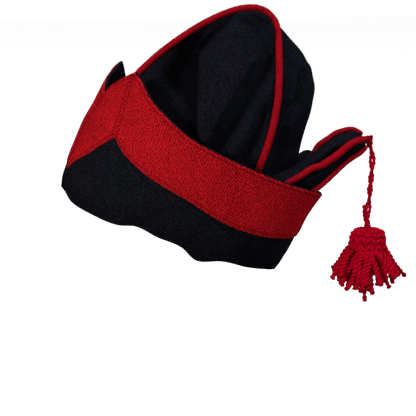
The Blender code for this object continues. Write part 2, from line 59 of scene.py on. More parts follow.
# Sizes of the part's solids, which the pieces keep to
RIM_LENGTH = 0.204
RIM_WIDTH = 0.170
WORN_TILT = math.radians(22.7)
CROWN_CLOTH = 0.0022
TURN_UP_CLOTH = 0.0028
TAPE_CLOTH = 0.0012
FIT_GAP = 0.0003
PEAK_HEIGHT = 0.116
RIM_DIP = 0.008
FRONT_CREASE = 0.0048
CREASE_TURN = 9
TAPE_REVEAL = 0.0016
CROWN_HEIGHT = 0.2035
CREST_INSET = 1.5
CROWN_PIPING_DIAMETER = 0.0055
TAIL_PIPING_DIAMETER = 0.0045
TAIL_WIDTH = 0.0198
TAIL_THICKNESS = 0.013
TASSEL_HEAD_WIDTH = 0.033
TASSEL_HEAD_HEIGHT = 0.019
PEAK_TURN = 27
TAPE_CORNER_TURN = 35.5
TURNS = (0, 3, 6, 10, 15, 20, 24, PEAK_TURN, 31, TAPE_CORNER_TURN, 40, 46, 52, 58, 64, 71, 78,
         85, 92, 99, 106, 113, 120, 128, 136, 145, 154, 163, 172, 180)

BAND_FACE = (
    # rise, front, side, back, dent
    (0.00, 1.012, 1.000, 0.990, 0.00),
    (0.10, 1.032, 1.012, 1.014, 0.30),
    (0.19, 1.035, 1.020, 1.028, 0.40),
    (0.33, 1.029, 1.031, 1.044, 0.45),
    (0.52, 1.024, 1.045, 1.069, 0.60),
    (0.68, 0.999, 1.057, 1.120, 0.80),
    (1.00, 0.966, 1.075, 1.200, 1.00),
)
BAND_EDGES = (
    # turn, near top, far top, tape foot
    (0.0, 0.767, 0.767, 0.198),
    (6.0, 0.795, 0.800, 0.238),
    (12.0, 0.850, 0.862, 0.280),
    (18.0, 0.905, 0.925, 0.322),
    (23.0, 0.957, 0.982, 0.362),
    (PEAK_TURN, 1.000, 1.026, 0.405),
    (31.0, 0.982, 1.000, 0.468),
    (TAPE_CORNER_TURN, 0.951, 0.962, 0.548),
    (44.0, 0.871, 0.876, 0.510),
    (53.0, 0.815, 0.818, 0.482),
    (63.0, 0.759, 0.760, 0.466),
    (72.0, 0.720, 0.722, 0.459),
    (80.5, 0.703, 0.706, 0.444),
    (91.0, 0.690, 0.693, 0.402),
    (103.0, 0.679, 0.684, 0.368),
    (120.0, 0.672, 0.675, 0.370),
    (138.0, 0.678, 0.676, 0.405),
    (160.0, 0.678, 0.674, 0.446),
    (180.0, 0.672, 0.672, 0.452),
)
RIM_WAVES = (
    # turn, near, far
    (0.0, 0.00, 0.00),
    (10.0, 0.10, 0.10),
    (23.0, 0.62, 0.45),
    (38.0, 0.76, 0.55),
    (54.0, 0.62, 0.45),
    (63.0, 0.00, 0.20),
    (74.0, 0.18, 0.15),
    (86.0, 0.25, 0.30),
    (95.0, 1.00, 0.45),
    (108.0, 0.25, 0.30),
    (125.0, 0.10, 0.10),
    (142.0, -0.10, 0.00),
    (180.0, 0.00, 0.00),
)
CREST = (
    # turn, reach, rise
    (0.0, -0.735, 0.562),
    (15.0, -0.645, 0.655),
    (30.0, -0.535, 0.746),
    (45.0, -0.397, 0.842),
    (60.0, -0.250, 0.922),
    (75.0, -0.110, 0.977),
    (90.0, 0.028, 1.000),
    (105.0, 0.176, 0.984),
    (120.0, 0.350, 0.947),
    (135.0, 0.525, 0.904),
    (150.0, 0.675, 0.831),
    (165.0, 0.750, 0.733),
    (180.0, 0.785, 0.603),
)
CROWN_SIDE = (
    # rise, ridge, round
    (0.00, 1.000, 1.000),
    (0.20, 0.972, 0.975),
    (0.42, 0.915, 0.930),
    (0.58, 0.845, 0.870),
    (0.72, 0.735, 0.785),
    (0.84, 0.570, 0.675),
    (0.92, 0.400, 0.520),
    (0.97, 0.225, 0.335),
    (1.00, 0.000, 0.000),
)
ROUND_BACK_TURN = 100
RIM_FADE_POWER = 6

# Folds of the crown's cloth. Each follows a route of places (reach as a share of half the rim's
# length, rise as a share of the crown's height). The widths are how far it reaches to its front
# and its back side, and a small rounding makes its ridge sharp
NEAR_FOLDS = (
    # height, front width, back width, rounding, route
    # Edge of the pleat, then the ridge that goes straight down from it
    (0.0075, 0.0010, 0.0240, 0.0003,
     ((-0.113, 0.975), (-0.141, 0.963), (-0.192, 0.935), (-0.247, 0.890), (-0.289, 0.856),
      (-0.328, 0.815), (-0.375, 0.770), (-0.405, 0.737))),
    (0.0085, 0.0010, 0.0260, 0.0003,
     ((-0.414, 0.722), (-0.403, 0.682), (-0.385, 0.646), (-0.363, 0.592), (-0.336, 0.538),
      (-0.297, 0.483), (-0.254, 0.419), (-0.223, 0.374))),
    # Slit under the pleat, the soft roll beside it and the line behind the roll
    (-0.0105, 0.0030, 0.0014, 0.0006,
     ((-0.180, 0.955), (-0.215, 0.928), (-0.252, 0.897), (-0.302, 0.858), (-0.341, 0.819),
      (-0.379, 0.782), (-0.408, 0.750))),
    (0.0125, 0.0036, 0.0026, 0.0018,
     ((-0.215, 0.948), (-0.239, 0.923), (-0.290, 0.898), (-0.345, 0.858), (-0.385, 0.815),
      (-0.412, 0.775), (-0.428, 0.740), (-0.440, 0.700))),
    (-0.0100, 0.0060, 0.0026, 0.0012,
     ((-0.240, 0.925), (-0.268, 0.909), (-0.320, 0.883), (-0.373, 0.849), (-0.416, 0.811),
      (-0.440, 0.770), (-0.460, 0.725), (-0.480, 0.690))),
    # Deep hollow in front of the ridge, the bend in front of it, the crease under it and the
    # trough that goes on down beside the ridge
    (-0.0190, 0.0085, 0.0090, 0.0050,
     ((-0.466, 0.772), (-0.482, 0.748), (-0.499, 0.706), (-0.518, 0.658), (-0.520, 0.618),
      (-0.490, 0.600))),
    (0.0075, 0.0160, 0.0034, 0.0016,
     ((-0.444, 0.822), (-0.480, 0.792), (-0.530, 0.750), (-0.580, 0.700), (-0.618, 0.650),
      (-0.632, 0.602))),
    (0.0046, 0.0090, 0.0030, 0.0012,
     ((-0.600, 0.556), (-0.539, 0.550), (-0.478, 0.535), (-0.389, 0.515), (-0.320, 0.490))),
    (-0.0120, 0.0120, 0.0030, 0.0020,
     ((-0.440, 0.680), (-0.424, 0.640), (-0.402, 0.595), (-0.374, 0.545), (-0.340, 0.495),
      (-0.302, 0.440), (-0.266, 0.400))),
    # Broad slanting valley: the edge where it begins, its bottom and the ridge beyond it
    (0.0070, 0.0300, 0.0060, 0.0004,
     ((0.012, 0.805), (-0.023, 0.768), (-0.052, 0.716), (-0.081, 0.669), (-0.104, 0.618),
      (-0.129, 0.562), (-0.150, 0.506), (-0.160, 0.442), (-0.162, 0.403))),
    (-0.0130, 0.0110, 0.0050, 0.0022,
     ((0.150, 0.810), (0.120, 0.735), (0.087, 0.678), (0.055, 0.620), (0.028, 0.560),
      (0.000, 0.500), (-0.030, 0.439), (-0.055, 0.398))),
    (0.0044, 0.0050, 0.0140, 0.0026,
     ((0.195, 0.750), (0.175, 0.700), (0.145, 0.635), (0.115, 0.577), (0.085, 0.509),
      (0.063, 0.449), (0.050, 0.419))),
    (-0.0090, 0.0070, 0.0050, 0.0030,
     ((0.256, 0.600), (0.252, 0.550), (0.240, 0.500), (0.224, 0.450), (0.206, 0.405))),
    # Puckers under the top of the crest
    (0.0066, 0.0060, 0.0014, 0.0006,
     ((-0.127, 0.972), (-0.094, 0.962), (-0.069, 0.944), (-0.036, 0.920))),
    (-0.0060, 0.0040, 0.0026, 0.0010, ((-0.150, 0.930), (-0.114, 0.918), (-0.070, 0.912))),
    (-0.0110, 0.0036, 0.0040, 0.0010,
     ((-0.058, 0.975), (-0.020, 0.962), (0.017, 0.955), (0.050, 0.962))),
    (0.0056, 0.0026, 0.0050, 0.0010,
     ((-0.164, 0.869), (-0.111, 0.892), (-0.044, 0.909), (0.023, 0.925), (0.070, 0.940))),
    # Soft folds behind the piping
    (0.0066, 0.0060, 0.0020, 0.0006,
     ((0.405, 0.885), (0.396, 0.860), (0.392, 0.815), (0.404, 0.757), (0.420, 0.704))),
    (-0.0090, 0.0040, 0.0050, 0.0020,
     ((0.440, 0.885), (0.446, 0.840), (0.450, 0.795), (0.460, 0.745), (0.462, 0.700))),
    (0.0062, 0.0040, 0.0095, 0.0010,
     ((0.526, 0.845), (0.528, 0.820), (0.521, 0.767), (0.510, 0.716), (0.495, 0.664),
      (0.470, 0.600))),
    (-0.0085, 0.0180, 0.0240, 0.0080, ((0.550, 0.480), (0.600, 0.330))),
    # The back lies a little flatter than the plain bag
    (-0.0022, 0.0120, 0.0160, 0.0080,
     ((0.500, 0.862), (0.560, 0.825), (0.610, 0.780), (0.640, 0.730), (0.655, 0.685),
      (0.665, 0.630))),
)
FAR_FOLDS = (
    # height, front width, back width, rounding, route
    (0.0055, 0.0130, 0.0300, 0.0030, ((-0.350, 0.860), (-0.300, 0.650), (-0.200, 0.450))),
    (-0.0080, 0.0150, 0.0130, 0.0060, ((-0.520, 0.680), (-0.500, 0.600), (-0.450, 0.540))),
    (-0.0065, 0.0080, 0.0120, 0.0030, ((0.220, 0.840), (0.150, 0.640), (0.060, 0.420))),
    (0.0030, 0.0080, 0.0100, 0.0020, ((0.300, 0.880), (0.260, 0.700), (0.180, 0.480))),
    (-0.0035, 0.0080, 0.0100, 0.0030, ((0.520, 0.850), (0.550, 0.700), (0.560, 0.520))),
    (-0.0036, 0.0040, 0.0090, 0.0020, ((-0.180, 0.930), (-0.260, 0.840), (-0.330, 0.740))),
)
# Folds on a side stand out this way, from the cap's length towards the side and a little up,
# and square to the crown at its back
FOLD_WAY_TURN = 77
FOLD_WAY_RISE = 11
FOLD_WAY_END = 84
FOLD_WAY_LENGTH = 34

# A fold sinks in no further than this share of the way to the middle of the cap
DEEPEST_SHARE = 0.75
LEAST_SIDEWAYS = 0.2
LINING_SLACK = 0.30
CROWN_UNEVENNESS = 0.0005
CROWN_UNEVEN_PACE = (22, 44)

# Places where the near side's cloth lies too deep for much light to reach it: painted shade darkens
# its colour there
DEEP_SHADE_PLACES = (
    # strength, front width, back width, rounding, route
    (1.00, 0.0042, 0.0026, 0.0050,
     ((-0.460, 0.780), (-0.484, 0.746), (-0.510, 0.700), (-0.535, 0.655), (-0.545, 0.618),
      (-0.520, 0.596))),
    (0.45, 0.0030, 0.0030, 0.0020, ((-0.050, 0.958), (-0.012, 0.948), (0.028, 0.949))),
    (0.35, 0.0024, 0.0024, 0.0016, ((-0.135, 0.925), (-0.100, 0.917), (-0.065, 0.914))),
    (0.85, 0.0034, 0.0006, 0.0004,
     ((-0.130, 0.975), (-0.155, 0.963), (-0.202, 0.935), (-0.257, 0.890), (-0.299, 0.856),
      (-0.338, 0.815), (-0.385, 0.770), (-0.412, 0.740))),
    (0.70, 0.0016, 0.0010, 0.0008,
     ((-0.290, 0.905), (-0.320, 0.883), (-0.373, 0.849), (-0.416, 0.811), (-0.440, 0.770),
      (-0.460, 0.725))),
    (0.62, 0.0110, 0.0006, 0.0004,
     ((-0.416, 0.722), (-0.405, 0.682), (-0.387, 0.646), (-0.365, 0.592), (-0.338, 0.538),
      (-0.299, 0.483), (-0.256, 0.419), (-0.225, 0.374))),
    (0.85, 0.0040, 0.0050, 0.0030, ((0.180, 0.330), (0.235, 0.350), (0.300, 0.300))),
    (0.60, 0.0040, 0.0050, 0.0030, ((0.440, 0.330), (0.540, 0.350))),
)
CREST_FADE = 0.025
FOOT_FADE_START = 0.12
FOOT_FADE_LENGTH = 0.22
END_FADE_TURN = 12

# The crown's cloth is drawn in along its piped seam
SEAM_PULL = 0.0010
SEAM_PULL_WIDTH = 0.0046
SEAM_HOLD_WIDTH = 0.0060
CREST_HOLD_WIDTH = 0.0024
CREST_HOLD_START = 0.86
CREST_HOLD_LENGTH = 0.08
CREST_PULL_FADE = 0.03

PIPING_ROUTE = (
    # turn, rise
    (0.0, 0.56),
    (0.0, 1.000),
    (96.0, 1.000),
    (101.0, 0.990),
    (102.3, 0.940),
    (105.0, 0.860),
    (108.2, 0.780),
    (110.8, 0.700),
    (112.3, 0.610),
    (112.6, 0.530),
    (112.0, 0.460),
    (110.8, 0.370),
    (110.0, 0.300),
)
PIPING_SINK = 0.0010
PIPING_SWELL = 1.08

TAIL_SECTIONS = (
    # side, reach, rise, width, thickness
    (0.776, 0.544, 0.370, 1.00, 0.34),
    (0.753, 0.547, 0.480, 1.10, 0.42),
    (0.700, 0.552, 0.578, 1.18, 0.60),
    (0.624, 0.645, 0.638, 1.18, 0.75),
    (0.519, 0.780, 0.748, 1.12, 0.90),
    (0.408, 0.934, 0.907, 1.06, 1.00),
    (0.329, 1.090, 1.062, 1.00, 1.00),
    (0.276, 1.264, 1.168, 0.84, 0.85),
)
TAIL_ROOT_FACE = (0.76, 0.65, 0.00)
TAIL_TIP_FACE = (0.82, 0.12, 0.56)
TAIL_TWIST_END = 0.7
TAIL_NEAR_SHARE = 0.6
TAIL_PUFF = 0.35
TAIL_TIP_SHARE = 0.10
TAIL_SEAM_SHIFT = 0.38
# The near seam sags towards the lower edge round this share of the tail's length
TAIL_SEAM_SAG = 0.22
TAIL_SAG_SHARE = 0.725
TAIL_SAG_LENGTH = 0.180
TAIL_SEAMS = (
    # name, side of the tail's width, share of the length where its piping starts
    ("top", 1, 0.66),
    ("near", 0, 0.30),
    ("bottom", -1, 0.42),
)
TAIL_PIPING_END = 0.05

CORD_ROUTE = (
    (-0.0004, 0.0026, -0.0022),
    (-0.0003, 0.0038, 0.0045),
    (0.0000, 0.0062, 0.0140),
    (0.0002, 0.0060, 0.0290),
    (0.0000, 0.0050, 0.0430),
    (-0.0003, 0.0048, 0.0510),
    (0.0000, 0.0036, 0.0620),
    (0.0000, 0.0034, 0.0730),
    (0.0000, 0.0036, 0.0800),
)

SLOPE_TURN = 0.5
SLOPE_SHARE = 0.004
ROUTE_POINTS = 400
MERGE_DISTANCE = 1e-6


# Curves through tables

def smooth(knots, values, at):
    """A smooth curve through a table's values: cubic pieces whose slope at a row is the mean of
    the slopes on both sides."""
    knots = np.asarray(knots, float)
    values = np.asarray(values, float)
    steps = np.diff(knots)
    rises = np.diff(values) / steps
    slopes = np.concatenate((rises[:1], (rises[:-1] + rises[1:]) / 2, rises[-1:]))
    at = np.clip(at, knots[0], knots[-1])
    piece = np.clip(np.searchsorted(knots, at, side="right") - 1, 0, len(steps) - 1)
    step = steps[piece]
    share = (at - knots[piece]) / step
    rest = 1 - share
    return (rest * rest * (1 + 2 * share) * values[piece]
            + share * share * (1 + 2 * rest) * values[piece + 1]
            + share * rest * step * (rest * slopes[piece] - share * slopes[piece + 1]))


def column(table, index, at, corner=None):
    """One column of a table, read at any place. The curve has a corner at one row if asked."""
    rows = np.asarray(table, float)
    at = np.asarray(at, float)
    if corner is None:
        return smooth(rows[:, 0], rows[:, index], at)
    before = rows[rows[:, 0] <= corner]
    after = rows[rows[:, 0] >= corner]
    return np.where(at <= corner, smooth(before[:, 0], before[:, index], at),
                    smooth(after[:, 0], after[:, index], at))


def ease(share):
    """Rises softly from 0 to 1: 3 s^2 - 2 s^3."""
    share = np.clip(share, 0, 1)
    return share * share * (3 - 2 * share)


def two_sided(table, turn, corner=None):
    """A table whose first column holds the near side and whose second holds the far side."""
    near = column(table, 1, np.abs(turn), corner)
    far = column(table, 2, np.abs(turn), corner)
    return np.where(np.asarray(turn) >= 0, near, far)


def along_rows(rows, share):
    """A smooth curve through evenly numbered rows of values, read at shares of the way."""
    rows = np.asarray(rows, float)
    knots = np.linspace(0, 1, len(rows))
    return np.stack([smooth(knots, values, share) for values in rows.T], axis=-1)


def unit(vectors):
    """The vectors at length 1."""
    return vectors / np.maximum(np.linalg.norm(vectors, axis=-1, keepdims=True), 1e-12)


def even_steps(points, step=None, count=None):
    """Points at even steps along a line of close points."""
    reached = np.concatenate(((0,), np.cumsum(np.linalg.norm(np.diff(points, axis=0), axis=1))))
    if count is None:
        count = max(2, round(reached[-1] / step) + 1)
    wanted = np.linspace(0, reached[-1], count)
    return np.stack([np.interp(wanted, reached, points[:, axis]) for axis in range(3)], axis=-1)


def worn(points):
    """Tilts points of the level cap back, as the cap is worn: a turn about the X axis."""
    points = np.asarray(points, float)
    cosine, sine = math.cos(WORN_TILT), math.sin(WORN_TILT)
    y, z = points[..., 1], points[..., 2]
    return np.stack((points[..., 0], y * cosine + z * sine, z * cosine - y * sine), axis=-1)


NOISE_WAVES = 7
NOISE_PACES = (0.6, 1.7)
NOISE_PEAK = 1.4


def soft_noise(x, y, seed):
    """Smooth unevenness between about -1 and 1: a sum of sine waves with directions, lengths
    and phases drawn from the seed."""
    draw = np.random.default_rng(seed)
    total = np.zeros(np.broadcast(x, y).shape)
    headings, paces, phases = (draw.uniform(*ends, NOISE_WAVES) for ends in (
        (0, math.tau), NOISE_PACES, (0, math.tau)))
    for heading, pace, phase in zip(headings, paces, phases):
        total += np.sin((x * math.cos(heading) + y * math.sin(heading)) * pace + phase)
    return total / math.sqrt(NOISE_WAVES) / NOISE_PEAK


# The band, the crown and the tail as surfaces

def rim_height(turn):
    """The rim waves below the level plane."""
    return -RIM_DIP * two_sided(RIM_WAVES, turn)


def edge_height(turn):
    """Height of the band's top edge, with a corner at the peak."""
    return PEAK_HEIGHT * two_sided(BAND_EDGES, turn, PEAK_TURN)


def tape_foot_height(turn):
    """Height of the tape's lower edge, with a corner where its mitre starts."""
    return edge_height(turn) * column(BAND_EDGES, 3, np.abs(turn), TAPE_CORNER_TURN)


def band_point(turn, height, outwards=0.0):
    """The band's outer face: an oval whose front, side and back reach follow the height."""
    angle = np.radians(turn)
    rise = np.asarray(height) / PEAK_HEIGHT
    front, side, back, dent = (column(BAND_FACE, index, rise) for index in (1, 2, 3, 4))
    reach = np.where(np.cos(angle) > 0, front, back) * RIM_LENGTH / 2 + outwards
    reach = reach - dent * FRONT_CREASE * np.exp(-(np.asarray(turn) / CREASE_TURN) ** 2)
    across = side * RIM_WIDTH / 2 + outwards
    return np.stack(np.broadcast_arrays(across * np.sin(angle), -reach * np.cos(angle), height),
                    axis=-1)


FOLD_LINE_STEPS = 6


def fold_relief(folds, reach, rise):
    """How far folds stand out: height * exp(-(sqrt(d^2 + r^2) - r) / width) summed over the
    folds, with d the distance to the fold's route, r its rounding, and the width going from
    that of the front side to that of the back side as the sine of the place's bearing does."""
    relief = np.zeros(np.shape(reach))
    scale = np.array((RIM_LENGTH / 2, CROWN_HEIGHT))
    place = np.stack((reach, rise), axis=-1) * scale
    for height, front_width, back_width, rounding, route in folds:
        stops = np.array(route) * scale
        steps = np.linspace(0, len(stops) - 1, FOLD_LINE_STEPS * len(stops))
        line = along_rows(stops, steps / (len(stops) - 1))
        nearest = np.full(np.shape(reach), np.inf)
        bearing = np.zeros(np.shape(reach))
        for start, end in zip(line, line[1:]):
            way = end - start
            off = place - start
            share = np.clip(off @ way / (way @ way), 0, 1)
            distance = np.linalg.norm(off - share[..., None] * way, axis=-1)
            closer = distance < nearest
            side = (off[..., 0] * way[1] - off[..., 1] * way[0]) * np.sign(way[1] or -1)
            side = side / np.linalg.norm(way) / np.maximum(distance, 1e-9)
            bearing = np.where(closer, side, bearing)
            nearest = np.where(closer, distance, nearest)
        width = (front_width + back_width) / 2 + (back_width - front_width) / 2 * bearing
        relief += height * np.exp(-(np.hypot(nearest, rounding) - rounding) / width)
    return relief


def crown_base(turn, rise, inset=0.0):
    """The crown without folds. A line up the crown starts on the rim, inside the band, and ends
    on the crest: the turn says which line, the rise how far up it a point is."""
    away = np.abs(turn)
    foot = band_point(away, np.zeros(np.shape(away)), -(TURN_UP_CLOTH + FIT_GAP + inset))
    crest_reach = column(CREST, 1, away) * (RIM_LENGTH / 2 - CREST_INSET * inset)
    crest_height = column(CREST, 2, away) * (CROWN_HEIGHT - CREST_INSET * inset)
    roundness = ease((away - ROUND_BACK_TURN) / (180 - ROUND_BACK_TURN))
    ridge, round_back = column(CROWN_SIDE, 1, rise), column(CROWN_SIDE, 2, rise)
    x = foot[..., 0] * (ridge + (round_back - ridge) * roundness)
    y = foot[..., 1] + (crest_reach - foot[..., 1]) * rise
    z = crest_height * rise + rim_height(turn) * (1 - rise) ** RIM_FADE_POWER
    return np.stack((x * np.where(np.asarray(turn) < 0, -1, 1), y, z), axis=-1)


def fold_way(turn, outward):
    """The way the crown's folds stand out at places with these turns: sideways from the front to
    the middle of the side, then more and more square to the crown."""
    side, up = math.radians(FOLD_WAY_TURN), math.radians(FOLD_WAY_RISE)
    sideways = np.array((math.sin(side) * math.cos(up), -math.cos(side) * math.cos(up),
                         math.sin(up)))
    cosine, sine = math.cos(WORN_TILT), math.sin(WORN_TILT)
    sideways = np.array((sideways[0], sideways[1] * cosine - sideways[2] * sine,
                         sideways[2] * cosine + sideways[1] * sine))
    ways = np.where((turn < 0)[..., None], sideways * (-1, 1, 1), sideways)
    square = ease((np.abs(turn) - FOLD_WAY_END) / FOLD_WAY_LENGTH)[..., None]
    return unit(ways * (1 - square) + outward * square)


def crown_outward(turn, rise):
    """Out of the crown without folds: square to its slopes round it and up it."""
    ahead = crown_base(turn + SLOPE_TURN, rise) - crown_base(turn - SLOPE_TURN, rise)
    up = (crown_base(turn, np.minimum(rise + SLOPE_SHARE, 1))
          - crown_base(turn, np.maximum(rise - SLOPE_SHARE, 0)))
    return unit(np.cross(ahead, up))


def crown_point(turn, rise, inset=0.0, seam=None):
    """The crown with its folds, which fade out towards the crest, down inside the band and at
    the front and back middle lines. Near the piped seam the cloth is drawn in."""
    turn, rise = np.broadcast_arrays(np.asarray(turn, float), np.asarray(rise, float))
    base = crown_base(turn, rise)
    reach = base[..., 1] / (RIM_LENGTH / 2)
    height = base[..., 2] / CROWN_HEIGHT
    relief = np.where(turn >= 0, fold_relief(NEAR_FOLDS, reach, height),
                      fold_relief(FAR_FOLDS, reach, height))
    relief = relief + CROWN_UNEVENNESS * soft_noise(
        reach * CROWN_UNEVEN_PACE[0], height * CROWN_UNEVEN_PACE[1] + np.sign(turn), seed=5)
    relief = relief * ease((1 - rise) / CREST_FADE)
    relief = relief * ease((rise - FOOT_FADE_START) / FOOT_FADE_LENGTH)
    relief = relief * ease(np.abs(turn) / END_FADE_TURN) * ease(
        (180 - np.abs(turn)) / END_FADE_TURN)
    if seam is not None:
        away = distance_to(base, seam)
        near_crest = ease((rise - CREST_HOLD_START) / CREST_HOLD_LENGTH)
        held = SEAM_HOLD_WIDTH - (SEAM_HOLD_WIDTH - CREST_HOLD_WIDTH) * near_crest
        relief = relief * (1 - np.exp(-(away / held) ** 2))
        pull = SEAM_PULL * ease((1 - rise) / CREST_PULL_FADE)
        relief = relief - pull * np.exp(-(away / SEAM_PULL_WIDTH) ** 2)
    way = fold_way(turn, crown_outward(turn, rise))
    if inset > 0:
        relief = relief - LINING_SLACK * np.abs(relief)
    sideways = np.maximum(np.abs(way[..., 0]), LEAST_SIDEWAYS)
    room = DEEPEST_SHARE * np.abs(base[..., 0]) / sideways
    relief = np.maximum(relief, -room * np.tanh(-relief / np.maximum(room, 1e-6)))
    return crown_base(turn, rise, inset) + way * relief[..., None]


def distance_to(points, route):
    """Distance from each point of a grid to the nearest point of a route, row by row."""
    gaps = [np.sqrt((((row[:, None] - route[None]) ** 2).sum(axis=-1)).min(axis=1))
            for row in points]
    return np.array(gaps)


def piping_places():
    """Turns and rises of close places along the crown's piping, straight from row to row."""
    rows = np.array(PIPING_ROUTE)
    share = np.linspace(0, len(rows) - 1, ROUTE_POINTS)
    return [np.interp(share, np.arange(len(rows)), values) for values in rows.T]


def tail_frame(share):
    """Middle line of the tail with its half width, its thickness, and the directions across its
    face and out of it."""
    size = (RIM_WIDTH / 2, RIM_LENGTH / 2, PEAK_HEIGHT)
    rows = along_rows(TAIL_SECTIONS, share)
    middle = rows[..., :3] * size
    before, after = (along_rows(TAIL_SECTIONS, np.clip(share + step, 0, 1))[..., :3] * size
                     for step in (-SLOPE_SHARE, SLOPE_SHARE))
    forward = unit(after - before)
    twist = ease(share / TAIL_TWIST_END)[..., None]
    face = np.array(TAIL_ROOT_FACE) * (1 - twist) + np.array(TAIL_TIP_FACE) * twist
    face = unit(face - (forward * face).sum(axis=-1, keepdims=True) * forward)
    across = np.cross(face, forward)
    left = np.clip((1 - share) / TAIL_TIP_SHARE, 0, 1)
    round_tip = np.sqrt(left * (2 - left))
    half_width = rows[..., 3] * TAIL_WIDTH / 2 * round_tip
    thickness = rows[..., 4] * TAIL_THICKNESS * round_tip
    return middle, half_width, thickness, across, face


def seam_angle(share, side):
    """Where a seam lies round the tail. The near face's seam starts closer to the top edge."""
    sag = TAIL_SEAM_SAG * np.exp(-((share - TAIL_SAG_SHARE) / TAIL_SAG_LENGTH) ** 2)
    return np.arccos(np.where(side == 0, TAIL_SEAM_SHIFT * (1 - share) - sag, side))


def tail_point(share, angle, relief=0.0):
    """The tail's skin: the near face is two puffed strips that meet at the near seam, the far
    face is one flatter strip. The angle runs round the tail from its top edge over the face."""
    middle, half_width, thickness, across, face = tail_frame(share)
    side = np.cos(angle)
    seam = np.cos(seam_angle(share, 0))
    away = np.abs(side - seam) / (1 - np.sign(side - seam) * seam)
    near = 1 - away + TAIL_PUFF * np.sin(np.pi * away)
    out = np.where(np.sin(angle) >= 0, TAIL_NEAR_SHARE * near,
                   -(1 - TAIL_NEAR_SHARE) * np.abs(np.sin(angle)))
    return (middle + across * (half_width * side)[..., None]
            + face * (thickness * out + relief * np.sign(np.sin(angle)))[..., None])


# Grids, tubes and twisted strands

def grid_faces(rows, columns, closed_round):
    """Four-cornered faces between neighbours of a grid of points."""
    index = np.arange(rows * columns).reshape(rows, columns)
    after = np.roll(index, -1, axis=1)
    if not closed_round:
        index, after = index[:, :-1], after[:, :-1]
    return np.stack((index[:-1], after[:-1], after[1:], index[1:]), axis=-1).reshape(-1, 4)


def grid_uvs(uv):
    """Corner coordinates of a grid's faces: uv has one more column than a closed grid."""
    return np.stack((uv[:-1, :-1], uv[:-1, 1:], uv[1:, 1:], uv[1:, :-1]), axis=2).reshape(-1, 2)


def add_piece(name, points, faces, uvs=None, marks=None, turn_out=True):
    """One mesh piece from points (count x 3) and four-cornered faces, with corner coordinates in
    a UV map and point values in named attributes. Points that coincide become one."""
    mesh = bpy.data.meshes.new(name)
    mesh.from_pydata(points.reshape(-1, 3), [], faces)
    if uvs is not None:
        mesh.uv_layers.new(name="along").data.foreach_set("uv", uvs.astype(np.float32).ravel())
    for mark, values in (marks or {}).items():
        layer = mesh.attributes.new(mark, "FLOAT", "POINT")
        layer.data.foreach_set("value", np.asarray(values, np.float32).ravel())
    bm = bmesh.new()
    bm.from_mesh(mesh)
    bmesh.ops.remove_doubles(bm, verts=bm.verts, dist=MERGE_DISTANCE)
    bmesh.ops.dissolve_degenerate(bm, edges=bm.edges, dist=MERGE_DISTANCE / 10)
    if turn_out:
        bmesh.ops.recalc_face_normals(bm, faces=bm.faces)
    bm.to_mesh(mesh)
    bm.free()
    mesh.shade_smooth()
    piece = bpy.data.objects.new(name, mesh)
    bpy.context.scene.collection.objects.link(piece)
    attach(piece, "root")
    return piece


def dress(piece, material, slot, *nodes):
    """Gives a piece its material, and hides the imported solids of the nodes that it stands for.
    The slot is not used.
    """
    piece.data.materials.append(material)
    if nodes:
        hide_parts(*nodes)
    return piece


def route_frames(route, outward):
    """Directions along, across and out of a route. The outward direction is made square to the
    route, and across is square to both."""
    along = unit(np.gradient(route, axis=-2))
    out = unit(outward - (outward * along).sum(axis=-1, keepdims=True) * along)
    return along, np.cross(along, out), out


def carried(route, across, out, radius, angle):
    """A closed profile carried along a route: each point is the route's place plus the radius in
    the direction that the angle gives between out and across."""
    return (route[..., None, :] + out[..., None, :] * (radius * np.cos(angle))[..., None]
            + across[..., None, :] * (radius * np.sin(angle))[..., None])


def closing_radius(count, rounding_rows=4):
    """Multiplies a tube's radius so that both its ends close in a dome: sqrt(1 - s^2)."""
    share = np.ones(count)
    dome = np.sqrt(1 - np.linspace(1, 0, rounding_rows + 1)[:-1] ** 2)
    share[:rounding_rows] = dome
    share[-rounding_rows:] = dome[::-1]
    return share


# Each strand has this many plies, whose middles lie off its own by a share of its diameter
PLIES = 2
PLY_OFFSET = 0.165


def ply_radius(angle, diameter):
    """Outline of plies laid round each other: the widest of circles whose middles stand off the
    middle line, c cos(a) + sqrt(b^2 - c^2 sin^2(a))."""
    off, thick = PLY_OFFSET * diameter, (0.5 - PLY_OFFSET) * diameter
    radius = np.zeros(np.shape(angle))
    for ply in range(PLIES):
        turned = angle - math.tau * ply / PLIES
        reach = off * np.cos(turned) + np.sqrt(thick ** 2 - (off * np.sin(turned)) ** 2)
        radius = np.maximum(radius, reach)
    return radius


def yarn_tubes(routes, outward, diameter, lay_length, sides, phase, taper):
    """Twisted strands along routes (strand x row x 3): the outline of the plies turns once in
    each lay length. Returns points, faces, corner coordinates and the depth of the grooves, which
    sets the painted shade in them."""
    strands, rows = routes.shape[:2]
    _, across, out = route_frames(routes, outward)
    steps = np.linalg.norm(np.diff(routes, axis=1), axis=-1)
    reached = np.concatenate((np.zeros((strands, 1)), np.cumsum(steps, axis=1)), axis=1)
    round_it = np.linspace(0, math.tau, sides + 1)[:-1]
    twist = math.tau * reached[..., None] / lay_length + np.reshape(phase, (-1, 1, 1))
    radius = ply_radius(round_it - twist, diameter)
    groove_shade = 1 - radius / radius.max()
    radius = radius * np.broadcast_to(taper, (strands, rows))[..., None]
    points = carried(routes, across, out, radius, np.broadcast_to(round_it, radius.shape))
    one = grid_faces(rows, sides, True)
    faces = (one[None] + (np.arange(strands) * rows * sides)[:, None, None]).reshape(-1, 4)
    along = np.broadcast_to(reached[..., None], (strands, rows, sides + 1))
    around = (np.linspace(0, 1, sides + 1) - twist / math.tau) * math.pi * diameter
    uv = np.stack((along, around), axis=-1)
    uvs = np.concatenate([grid_uvs(strand) for strand in uv])
    return points.reshape(-1, 3), faces, uvs, groove_shade.ravel()


